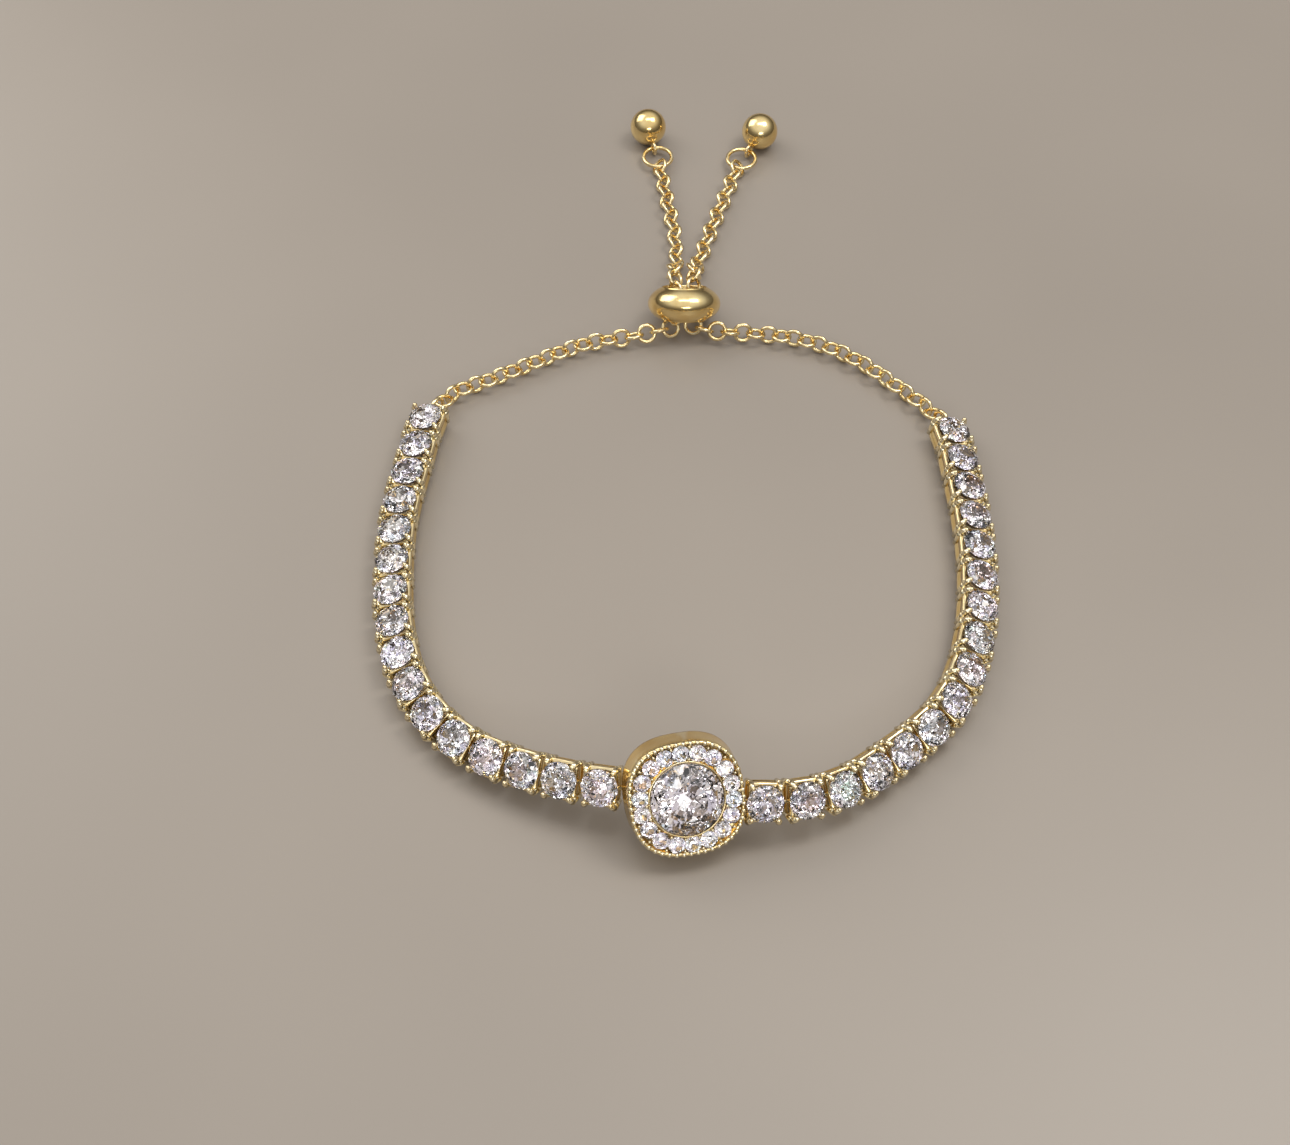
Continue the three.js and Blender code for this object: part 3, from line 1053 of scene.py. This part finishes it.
def post(
    foot: Vector, head: Vector, foot_radius: float, head_radius: float, sides: int = 10
) -> bmesh.types.BMesh:
    """Makes a tapered round post between two points.

    Args:
        foot: Lower end.
        head: Upper end.
        foot_radius: Radius at the foot.
        head_radius: Radius at the head.
        sides: Sides round it.

    Returns:
        The post.
    """
    bm = bmesh.new()
    line = head - foot
    turn = line.to_track_quat("Z", "Y").to_matrix().to_4x4()
    spot = Matrix.Translation((foot + head) / 2) @ turn
    bmesh.ops.create_cone(
        bm,
        cap_ends=True,
        segments=sides,
        radius1=foot_radius,
        radius2=head_radius,
        depth=line.length,
        matrix=spot,
    )
    return bm


DIP_POWER = 0.8


@dataclass(frozen=True)
class Hoop:
    """One level of a lofted wall: its half sizes, height, squareness and dips towards its sides."""

    half_length: float
    half_width: float
    height: float
    power: float = 2.0
    dip_ends: float = 0.0
    dip_sides: float = 0.0

    def lay(self, bm: bmesh.types.BMesh, segments: int) -> list[bmesh.types.BMEdge]:
        """Draws the hoop.

        Args:
            bm: What it is drawn in.
            segments: Its corners.

        Returns:
            Its edges.
        """
        made = bmesh.ops.create_circle(bm, cap_ends=False, radius=1.0, segments=segments)
        for vert in made["verts"]:
            c, s = vert.co.x, vert.co.y
            grow = (abs(c) ** self.power + abs(s) ** self.power) ** (-1 / self.power)
            x, y = c * grow, s * grow
            ends, sides = max(0.0, 1 - abs(y)) ** DIP_POWER, max(0.0, 1 - abs(x)) ** DIP_POWER
            drop = self.dip_ends * ends + self.dip_sides * sides
            vert.co = (x * self.half_length, y * self.half_width, self.height - drop)
        return list({edge for vert in made["verts"] for edge in vert.link_edges})


def lofted(hoops: Sequence[Hoop], segments: int) -> bmesh.types.BMesh:
    """Bridges hoops in order and the last back to the first.

    Args:
        hoops: The levels of a closed wall.
        segments: Corners of each hoop.

    Returns:
        The wall.
    """
    bm = bmesh.new()
    loops = [hoop.lay(bm, segments) for hoop in hoops]
    for i in range(len(loops)):
        bmesh.ops.bridge_loops(bm, edges=loops[i - 1] + loops[i])
    return bm


@dataclass(frozen=True)
class BrilliantCut:
    """A round brilliant about its girdle, with its table up."""

    diameter: float
    girdle: float
    crown: float
    pavilion: float
    table: float = 0.56
    fold: int = 8
    seed: int = 1
    shoulder_bulge: float = 1.015
    shoulder_level: float = 0.60
    lower_radius: float = 0.30
    lower_level: float = 0.76
    culet: float = 0.03
    same_facet: float = 0.5

    def rings(self) -> Iterable[tuple[int, float, float, float]]:
        """Lists the rings of facet corners.

        Yields:
            Corners, radius, height and turn in half steps of each ring.
        """
        radius, top = self.diameter / 2, self.girdle / 2
        shoulder = radius * (0.5 + self.table / 2) * self.shoulder_bulge
        yield self.fold, radius * self.table, top + self.crown, 0
        yield self.fold, shoulder, top + self.crown * self.shoulder_level, 1
        yield self.fold * 2, radius, top, 0
        yield self.fold * 2, radius, -top, 0
        yield self.fold, radius * self.lower_radius, -top - self.pavilion * self.lower_level, 1
        yield self.fold, radius * self.culet, -top - self.pavilion, 0

    def body(self) -> bmesh.types.BMesh:
        """Cuts the stone.

        Returns:
            The stone, with a number from nought to one on each facet.
        """
        bm = bmesh.new()
        for count, radius, height, turn in self.rings():
            spot = Matrix.Translation((0, 0, height)) @ Matrix.Rotation(turn * math.pi / self.fold, 4, "Z")
            bmesh.ops.create_circle(bm, cap_ends=False, radius=radius, segments=count, matrix=spot)
        bmesh.ops.delete(bm, geom=list(bm.edges), context="EDGES_FACES")
        bmesh.ops.convex_hull(bm, input=bm.verts)
        limit = math.radians(self.same_facet)
        bmesh.ops.dissolve_limit(bm, angle_limit=limit, verts=bm.verts, edges=bm.edges)
        layer = bm.faces.layers.float.new("facet")
        draw = random.Random(self.seed)
        for face in bm.faces:
            face[layer] = draw.random()
        return bm


@dataclass
class Workshop:
    """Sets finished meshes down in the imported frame."""

    finishes: dict[Slot, bpy.types.Material]
    special: dict[str, bpy.types.Material]
    to_frame: Matrix

    def piece(
        self,
        name: str,
        mesh: bpy.types.Mesh,
        slot: Slot,
        replaced: Sequence[str] = (),
        place: Matrix = HERE,
    ) -> bpy.types.Object:
        """Makes a piece that rides with the bracelet.

        Args:
            name: The piece's name.
            mesh: Its mesh, in millimetres.
            slot: Which finish it takes.
            replaced: Nodes of the frame that it stands for.
            place: Where the mesh goes in the plan frame.

        Returns:
            The piece.
        """
        mesh.transform(self.to_frame @ place)
        mesh.name = name
        mesh.materials.clear()
        mesh.materials.append(self.special.get(name, self.finishes[slot]))
        made = bpy.data.objects.new(name, mesh)
        bpy.context.scene.collection.objects.link(made)
        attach(made, BODY)
        if replaced:
            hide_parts(*replaced)
        log.info("%s: %d faces", name, len(mesh.polygons))
        return made


class Outline(Enum):
    """What a row of a basket's wall is set in from."""

    FOOT = "the wall at its back, heights from the back"
    HEAD = "the wall at its front, heights from the girdle"
    SEAT = "the stone's edge, heights from the girdle"
    BORE = "the bore, heights from the back"


@dataclass(frozen=True)
class WallRow:
    """One level of a basket's wall: its insets at the ends and sides, its height and its dips."""

    outline: Outline
    end_inset: float
    side_inset: float
    height: float
    dip_ends: float = 0.0
    dip_sides: float = 0.0


WALL_ROWS = (
    WallRow(Outline.FOOT, 0.14, 0.14, 0.0),
    WallRow(Outline.FOOT, 0.03, 0.02, 0.10),
    WallRow(Outline.FOOT, 0.03, -0.05, 0.52),
    WallRow(Outline.FOOT, 0.13, 0.03, 0.62),
    WallRow(Outline.HEAD, 0.20, 0.26, -1.05),
    WallRow(Outline.HEAD, 0.12, 0.16, -0.95, 0.10, 0.03),
    WallRow(Outline.HEAD, 0.10, 0.12, -0.56, 0.30, 0.08),
    WallRow(Outline.HEAD, 0.16, 0.18, -0.48, 0.30, 0.08),
    WallRow(Outline.SEAT, 0.10, 0.08, -0.42, 0.16, 0.05),
    WallRow(Outline.SEAT, 0.24, 0.24, -0.66),
    WallRow(Outline.BORE, -0.10, -0.10, 0.9),
    WallRow(Outline.BORE, 0.0, 0.0, 0.0),
)


@dataclass
class StoneBand:
    """The thirty-two baskets with their stones."""

    layout: Layout
    segments: int = 40
    wall_power: float = 9.0
    bore: float = 0.85
    tip_radius: float = 0.23
    tip_inset: float = 0.36
    tip_cross: float = 0.46
    tip_height: float = 0.20
    post_foot: float = 0.24
    post_head: float = 0.31
    foot_inset: float = 0.15
    foot_cross: float = 0.08
    foot_height: float = 0.22
    shoulder_inset: float = 0.22
    shoulder_cross: float = 0.20
    shoulder_height: float = -0.45
    stone_spread: float = 0.26
    stone_girdle: float = 0.05
    stone_crown: float = 0.50
    stone_pavilion: float = 1.34
    tongue_root: float = 0.3
    tongue_reach: float = 0.5
    tongue_width: float = 0.3
    tongue_height: float = 0.7
    tongue_round: float = 0.06

    def basket(self) -> Shape:
        """Makes a galleried wall with four prongs.

        Returns:
            The basket, about its girdle's centre.
        """
        size = self.layout.link
        length, width, depth = size.half_length, size.half_width, size.depth
        foot_length, foot_width = length - size.end_taper, width - size.taper
        seat = size.stone / 2
        outlines = {
            Outline.FOOT: (foot_length, foot_width, -depth, self.wall_power),
            Outline.HEAD: (length, width, 0.0, self.wall_power),
            Outline.SEAT: (seat, seat, 0.0, 2.0),
            Outline.BORE: (self.bore, self.bore, -depth, 2.0),
        }
        wall = []
        for row in WALL_ROWS:
            along, across, base, power = outlines[row.outline]
            sizes = (along - row.end_inset, across - row.side_inset, base + row.height)
            wall.append(Hoop(*sizes, power, row.dip_ends, row.dip_sides))
        shape = Shape()
        shape.take(lofted(wall, self.segments))
        for along in (-1, 1):
            for across in (-1, 1):
                foot, shoulder, tip = self.post_points(Matrix.Diagonal((along, across, 1.0)))
                shape.take(post(foot, shoulder, self.post_foot, self.post_head))
                shape.take(post(shoulder, tip, self.post_head, self.tip_radius))
                shape.take(ball(self.post_head), Matrix.Translation(shoulder))
                shape.take(ball(self.tip_radius), Matrix.Translation(tip))
        return shape

    def post_points(self, corner: Matrix) -> tuple[Vector, Vector, Vector]:
        """Finds the points of the prong at a corner.

        Args:
            corner: Mirrors the points to the corner.

        Returns:
            Its foot, shoulder and tip.
        """
        size = self.layout.link
        length, width = size.half_length, size.half_width
        foot_length, foot_width = length - size.end_taper, width - size.taper
        foot = (foot_length - self.foot_inset, foot_width - self.foot_cross, self.foot_height - size.depth)
        shoulder = (length - self.shoulder_inset, width - self.shoulder_cross, self.shoulder_height)
        tip = (length - self.tip_inset, width - self.tip_cross, self.tip_height)
        return corner @ Vector(foot), corner @ Vector(shoulder), corner @ Vector(tip)

    def tongue(self) -> bmesh.types.BMesh:
        """Makes the tongue that reaches into the next basket.

        Returns:
            The tongue.
        """
        size = self.layout.link
        bm = bmesh.new()
        start, end = size.half_length - self.tongue_root, size.pitch / 2 + self.tongue_reach
        bmesh.ops.create_cube(bm, size=1.0)
        bmesh.ops.scale(bm, vec=(end - start, self.tongue_width, self.tongue_height), verts=bm.verts)
        bmesh.ops.translate(bm, vec=((start + end) / 2, 0, -size.hinge_depth), verts=bm.verts)
        bmesh.ops.bevel(
            bm,
            geom=bm.edges,
            offset=self.tongue_round,
            offset_type="OFFSET",
            segments=2,
            profile=0.5,
            affect="EDGES",
            material=-1,
        )
        return bm

    def build(self, shop: Workshop) -> None:
        """Makes every basket and stone.

        Args:
            shop: Sets the pieces down.
        """
        chain = self.layout.chain
        diameter = self.layout.link.stone + self.stone_spread
        proportions = (self.stone_girdle, self.stone_crown, self.stone_pavilion)
        plain = self.basket()
        plain.take(self.tongue())
        basket = plain.mesh("basket")
        for side in Side:
            ended = self.basket()
            ended.take(torus(chain.middle, chain.wire), self.layout.eye_place(side))
            last = ended.mesh("end_basket")
            places = self.layout.half(side).links
            for k, place in enumerate(places):
                number = len(places) - k
                tag = f"{side.value}_{number:02d}"
                mesh = last if number == 1 else basket.copy()
                shop.piece(f"basket_{tag}", mesh, Slot.GOLD, [f"link_{tag}"], place)
                stone = Shape()
                seed = number + side.seeds
                cut = BrilliantCut(diameter, *proportions, seed=seed)
                turn = Matrix.Rotation(random.Random(seed).uniform(0, math.tau), 4, "Z")
                stone.take(cut.body(), turn, smooth=False)
                shop.piece(f"stone_{tag}", stone.mesh("stone"), Slot.STONE, (), place)


class Ring(Enum):
    """Radii of the halo's case that its rows are measured from."""

    BORE = "bore"
    SEAT = "seat"
    COLLAR = "collar"
    WALL = "inside of the rim"
    CHAMFER = "edge of the back"
    OUTER = "rim"
    FLARE = "widest"


class Level(Enum):
    """Heights of the halo's case that its rows are measured from."""

    BACK = "back"
    BEVEL = "widest"
    CHANNEL = "floor of the channel"
    FACE = "face"
    CREST = "top of the collar"


@dataclass(frozen=True)
class CaseRow:
    """One corner of the case's profile: how far beyond a radius and above a height it lies."""

    ring: Ring
    beyond: float
    level: Level
    above: float


CASE_ROWS = (
    CaseRow(Ring.BORE, 0.0, Level.BACK, 0.1),
    CaseRow(Ring.BORE, 0.1, Level.BACK, 0.0),
    CaseRow(Ring.CHAMFER, 0.0, Level.BACK, 0.0),
    CaseRow(Ring.FLARE, -0.1, Level.BEVEL, -0.15),
    CaseRow(Ring.FLARE, 0.0, Level.BEVEL, 0.0),
    CaseRow(Ring.FLARE, -0.02, Level.BEVEL, 0.2),
    CaseRow(Ring.OUTER, -0.02, Level.FACE, -1.2),
    CaseRow(Ring.OUTER, 0.0, Level.FACE, -0.12),
    CaseRow(Ring.OUTER, -0.04, Level.FACE, -0.05),
    CaseRow(Ring.OUTER, -0.12, Level.FACE, -0.02),
    CaseRow(Ring.WALL, 0.06, Level.FACE, -0.02),
    CaseRow(Ring.WALL, 0.0, Level.FACE, -0.10),
    CaseRow(Ring.WALL, -0.04, Level.CHANNEL, 0.06),
    CaseRow(Ring.WALL, -0.12, Level.CHANNEL, 0.0),
    CaseRow(Ring.COLLAR, 0.10, Level.CHANNEL, 0.0),
    CaseRow(Ring.COLLAR, 0.03, Level.CHANNEL, 0.06),
    CaseRow(Ring.COLLAR, 0.0, Level.FACE, 0.06),
    CaseRow(Ring.COLLAR, -0.04, Level.CREST, 0.0),
    CaseRow(Ring.SEAT, 0.04, Level.CREST, 0.0),
    CaseRow(Ring.SEAT, 0.0, Level.FACE, 0.07),
    CaseRow(Ring.SEAT, -0.05, Level.FACE, -0.12),
    CaseRow(Ring.BORE, 0.25, Level.FACE, -1.5),
    CaseRow(Ring.BORE, 0.0, Level.FACE, -2.0),
)


@dataclass
class CushionHalo:
    """The cushion halo, its small stones and the large stone in it."""

    layout: Layout
    segments: int = 96
    rim_beads: int = 50
    rim_bead: float = 0.23
    rim_rise: float = 0.03
    claw: float = 0.14
    claw_reach: float = 0.50
    claw_rise: float = 0.10
    claw_growths: Pair = (0.2, 0.8)
    grain_sides: tuple[int, int] = (8, 5)
    collar: float = 0.16
    collar_rise: float = 0.12
    channel_depth: float = 0.62
    rim_width: float = 0.34
    paved_diameter: float = 1.48
    paved_cut: tuple[float, float, float] = (0.04, 0.27, 0.56)
    paved_rise: float = 0.02
    paved_growth: float = 0.5
    paved_seeds: int = 300
    centre_cut: tuple[float, float, float] = (0.14, 0.95, 2.75)
    centre_table: float = 0.52
    centre_fold: int = 12
    centre_seed: int = 7
    centre_spread: float = 0.20
    centre_rise: float = 0.12

    @property
    def paved_radius(self) -> float:
        """Radius of the ring of small stones: the middle of the channel."""
        size = self.layout.halo
        return (size.seat + self.collar + size.outer - self.rim_width) / 2

    def spread(self, body: bmesh.types.BMesh) -> bmesh.types.BMesh:
        """Turns a round case into one that is round at its seat and a cushion at its rim.

        Args:
            body: The round case.

        Returns:
            The same case, spread.
        """
        size = self.layout.halo
        seat = size.seat + size.collar
        reach = size.outer - size.chamfer - seat
        for vert in body.verts:
            radius = math.hypot(vert.co.x, vert.co.y)
            share = min(max((radius - seat) / reach, 0.0), 1.0)
            grow = 1 + (size.cushion(math.atan2(vert.co.y, vert.co.x)) - 1) * share
            vert.co.x *= grow
            vert.co.y *= grow
        return body

    def case(self) -> bmesh.types.BMesh:
        """Makes the halo's case with its channel, collar and seat.

        Returns:
            The case.
        """
        size = self.layout.halo
        rings = {
            Ring.BORE: size.seat_bore / 2,
            Ring.SEAT: size.seat,
            Ring.COLLAR: size.seat + self.collar,
            Ring.WALL: size.outer - self.rim_width,
            Ring.CHAMFER: size.outer - size.chamfer,
            Ring.OUTER: size.outer,
            Ring.FLARE: size.outer + size.flare,
        }
        levels = {
            Level.BACK: -size.depth,
            Level.BEVEL: size.bevel_depth - size.depth,
            Level.CHANNEL: -self.channel_depth,
            Level.FACE: 0.0,
            Level.CREST: self.collar_rise,
        }
        profile = [(rings[row.ring] + row.beyond, levels[row.level] + row.above) for row in CASE_ROWS]
        return self.spread(spun(profile, self.segments))

    def round_the_face(self, radius: float, angle: float, height: float, share: float = 1.0) -> Matrix:
        """Finds a place on the face.

        Args:
            radius: Distance from the middle.
            angle: Way round the face.
            height: Height above it.
            share: Share of the cushion's growth.

        Returns:
            The place.
        """
        stretch = 1 + (self.layout.halo.cushion(angle) - 1) * share
        spot = Vector((radius * stretch * math.cos(angle), radius * stretch * math.sin(angle), height))
        return Matrix.Translation(spot)

    def build(self, shop: Workshop) -> None:
        """Makes the case, the small stones and the large one.

        Args:
            shop: Sets the pieces down.
        """
        size = self.layout.halo
        place = self.layout.halo_place()
        case = Shape()
        case.take(self.case())
        for i in range(self.rim_beads):
            angle = math.tau * i / self.rim_beads
            spot = self.round_the_face(size.outer - self.rim_width / 2, angle, self.rim_rise)
            case.take(ball(self.rim_bead, *self.grain_sides), spot)
        paved = Shape()
        for i in range(size.paved_stones):
            between = math.tau * i / size.paved_stones
            for reach, share in zip((-self.claw_reach, self.claw_reach), self.claw_growths):
                spot = self.round_the_face(self.paved_radius + reach, between, self.claw_rise, share)
                case.take(ball(self.claw, *self.grain_sides), spot)
            angle = math.tau * (i + 0.5) / size.paved_stones
            cut = BrilliantCut(self.paved_diameter, *self.paved_cut, seed=self.paved_seeds + i)
            turn = Matrix.Rotation(angle, 4, "Z")
            spot = self.round_the_face(self.paved_radius, angle, self.paved_rise, self.paved_growth)
            paved.take(cut.body(), spot @ turn, smooth=False)
        for frame_place in (self.layout.half(side).links[0] for side in Side):
            tongue = StoneBand(self.layout).tongue()
            back = Matrix.Translation((-self.layout.link.pitch, 0, 0))
            case.take(tongue, place.inverted() @ frame_place @ back)
        shop.piece("halo_case", case.mesh("halo"), Slot.GOLD, ["halo_setting"], place)
        shop.piece("halo_small_stones", paved.mesh("small_stones"), Slot.STONE, (), place)
        centre = Shape()
        diameter = size.centre + self.centre_spread
        facets = (*self.centre_cut, self.centre_table, self.centre_fold, self.centre_seed)
        cut = BrilliantCut(diameter, *facets)
        lift = Matrix.Translation((0, 0, self.centre_rise))
        centre.take(cut.body(), lift, smooth=False)
        shop.piece("large_stone", centre.mesh("large_stone"), Slot.STONE, ["centre_stone"], place)


@dataclass
class ChainAndEnds:
    """The two chains, the rings and balls at their ends, and the slider bead."""

    layout: Layout
    ring_sides: int = 26
    ball_sides: tuple[int, int] = (40, 24)
    end_ring_sides: tuple[int, int] = (48, 12)
    grip: float = 0.012
    bead_steps: int = 72
    arc_steps: int = 20
    arc_share: float = 0.96
    lip: float = 0.16
    lip_drop: float = 0.01
    lip_reach: float = 0.7
    lip_throat: float = 0.2
    lip_curl: float = 0.4

    def chains(self, shop: Workshop) -> None:
        """Makes both chains and their free ends.

        Args:
            shop: Sets the pieces down.
        """
        size = self.layout.chain
        middle = size.hole + size.wire / 2 + self.grip
        for side in Side:
            half = self.layout.half(side)
            links = Shape()
            for place in half.chain:
                links.take(torus(middle, size.wire, self.ring_sides), place)
            name = side.value
            shop.piece(f"link_chain_{name}", links.mesh("chain"), Slot.GOLD, [f"chain_{name}"])
            ring = Shape()
            round_ring = torus((size.end_ring - size.end_wire) / 2, size.end_wire, *self.end_ring_sides)
            ring.take(round_ring, half.end_ring)
            shop.piece(f"end_ring_{name}", ring.mesh("ring"), Slot.GOLD, [f"jump_ring_{name}"])
            end = Shape()
            end.take(ball(size.ball / 2, *self.ball_sides), Matrix.Translation(half.ball))
            end.take(torus((size.ball_eye - size.ball_wire) / 2, size.ball_wire), half.ball_eye)
            shop.piece(f"ball_{name}", end.mesh("ball"), Slot.GOLD, [f"end_ball_{name}"])

    def bead(self, shop: Workshop) -> None:
        """Makes the slider bead: a round-shouldered rondelle with rolled lips.

        Args:
            shop: Sets the pieces down.
        """
        size = self.layout.chain
        outer, half, bore = size.bead_diameter / 2, size.bead_length / 2, size.bore
        shoulder = math.sqrt(1 - (bore / outer) ** 2)
        start = math.atan2(shoulder, bore / outer)
        turns = [start * (2 * i / self.arc_steps - 1) * self.arc_share for i in range(self.arc_steps + 1)]
        profile = [(outer * math.cos(a), half * math.sin(a)) for a in turns]
        mouth = half * shoulder
        rolled = (
            (bore + self.lip * self.lip_reach, mouth - self.lip_drop),
            (bore + self.lip * self.lip_throat, mouth - self.lip * self.lip_curl),
            (bore, mouth - self.lip),
        )
        profile += [*rolled, *((radius, -height) for radius, height in reversed(rolled))]
        shape = Shape()
        shape.take(spun(profile, self.bead_steps))
        shop.piece("bead", shape.mesh("bead"), Slot.GOLD, ["slider_bead"], self.layout.bead_place())


@dataclass(frozen=True)
class Viewpoint:
    """The photograph's camera, in the plan frame: what it looks at is the plan's origin."""

    focal_pixels: float = 1800.0
    width_pixels: float = 1290.0
    elevation: float = 54.29
    distance: float = 169.76
    roll: float = 0.41
    sensor: float = 36.0

    def build(self, to_frame: Matrix) -> None:
        """Sets the camera up.

        Args:
            to_frame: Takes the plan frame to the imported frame.
        """
        rise, roll = math.radians(self.elevation), math.radians(self.roll)
        forward = Vector((0.0, math.cos(rise), -math.sin(rise)))
        right, above = Vector((1.0, 0.0, 0.0)), Vector((0.0, math.sin(rise), math.cos(rise)))
        turned_right = right * math.cos(roll) + above * math.sin(roll)
        turned_above = above * math.cos(roll) - right * math.sin(roll)
        data = bpy.data.cameras.new("viewpoint")
        data.sensor_width = self.sensor
        data.lens = self.focal_pixels / self.width_pixels * self.sensor
        data.clip_start, data.clip_end = 0.01, 20.0
        camera = bpy.data.objects.new("viewpoint", data)
        spot = to_frame @ (forward * -self.distance)
        camera.matrix_world = frame_of(spot, turned_right, turned_above, -forward)
        bpy.context.scene.collection.objects.link(camera)
        bpy.context.scene.camera = camera


@dataclass(frozen=True)
class SoftBox:
    """A rectangular soft light that points at the bracelet, in metres and watts."""

    name: str
    place: tuple[float, float, float]
    size: Pair
    power: float
    colour: Colour = (1.0, 1.0, 1.0)

    def build(self) -> None:
        """Hangs the light."""
        data = bpy.data.lights.new(self.name, "AREA")
        data.shape = "RECTANGLE"
        data.size, data.size_y = self.size
        data.energy = self.power
        data.color = self.colour
        lamp = bpy.data.objects.new(self.name, data)
        lamp.location = self.place
        lamp.rotation_mode = "QUATERNION"
        lamp.rotation_quaternion = (-Vector(self.place)).to_track_quat("-Z", "Y")
        bpy.context.scene.collection.objects.link(lamp)


@dataclass
class Studio:
    """Plain pale floor, soft lights and a soft surround."""

    floor_size: float = 3.0
    floor_drop: float = 0.00002
    surround: Stops = (
        (0.0, (0.05, 0.04, 0.03)),
        (0.5, (0.07, 0.06, 0.05)),
        (0.68, (0.22, 0.21, 0.20)),
        (0.86, (0.80, 0.79, 0.79)),
        (1.0, (0.86, 0.85, 0.86)),
    )
    lights: tuple[SoftBox, ...] = (
        SoftBox("key", (0.20, 0.06, 0.42), (0.16, 0.16), 0.55, (1.0, 0.97, 0.92)),
        SoftBox("fill", (-0.26, 0.20, 0.26), (0.26, 0.26), 0.50, (1.0, 0.97, 0.92)),
        SoftBox("top", (0.0, 0.05, 0.60), (0.30, 0.12), 0.40, (1.0, 0.98, 0.95)),
        SoftBox("front", (0.05, -0.40, 0.24), (0.20, 0.06), 0.22, (1.0, 1.0, 1.0)),
    )

    def surround_light(self) -> bpy.types.World:
        """Builds a surround that is brighter overhead than at the horizon.

        Returns:
            The surround.
        """
        world = bpy.data.worlds.new("surround")
        world.use_nodes = True
        tree = world.node_tree
        direction = tree.nodes.new("ShaderNodeTexCoord")
        parts = tree.nodes.new("ShaderNodeSeparateXYZ")
        share = tree.nodes.new("ShaderNodeMapRange")
        share.inputs["From Min"].default_value = -1.0
        ramp = tree.nodes.new("ShaderNodeValToRGB")
        fill_ramp(ramp, self.surround)
        tree.links.new(direction.outputs["Generated"], parts.inputs["Vector"])
        tree.links.new(parts.outputs["Z"], share.inputs["Value"])
        tree.links.new(share.outputs["Result"], ramp.inputs["Fac"])
        tree.links.new(ramp.outputs["Color"], tree.nodes["Background"].inputs["Color"])
        return world

    def build(self) -> None:
        """Lays the floor and hangs the lights."""
        bm = bmesh.new()
        bmesh.ops.create_grid(bm, x_segments=2, y_segments=2, size=self.floor_size / 2)
        bmesh.ops.translate(bm, vec=(0, 0, -self.floor_drop), verts=bm.verts)
        mesh = bpy.data.meshes.new("floor")
        bm.to_mesh(mesh)
        bm.free()
        mesh.materials.append(PaleSurface().build())
        floor = bpy.data.objects.new("floor", mesh)
        bpy.context.scene.collection.objects.link(floor)
        for light in self.lights:
            light.build()
        bpy.context.scene.world = self.surround_light()
        bpy.context.scene.view_settings.view_transform = "Standard"


def plan_to_frame(layout: Layout) -> Matrix:
    """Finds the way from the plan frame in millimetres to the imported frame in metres.

    Args:
        layout: Where every piece lies.

    Returns:
        The matrix.
    """
    low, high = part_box("slider_bead")
    shift = (low + high) / 2 - layout.bead_place().translation * MM
    return Matrix.Translation(shift) @ Matrix.Scale(MM, 4)


def main() -> None:
    """Builds the camera, the pieces and the studio."""
    logging.basicConfig(level=logging.INFO, format="%(name)s %(message)s")
    layout = Layout()
    to_frame = plan_to_frame(layout)
    Viewpoint().build(to_frame)
    finishes = {Slot.GOLD: GoldPlate().build(), Slot.STONE: CutStone().build()}
    special = {"large_stone": LARGE_STONE.build(), "halo_small_stones": SMALL_STONES.build()}
    shop = Workshop(finishes, special, to_frame)
    StoneBand(layout).build(shop)
    CushionHalo(layout).build(shop)
    ends = ChainAndEnds(layout)
    ends.chains(shop)
    ends.bead(shop)
    Studio().build()


if __name__ == "__main__":
    main()
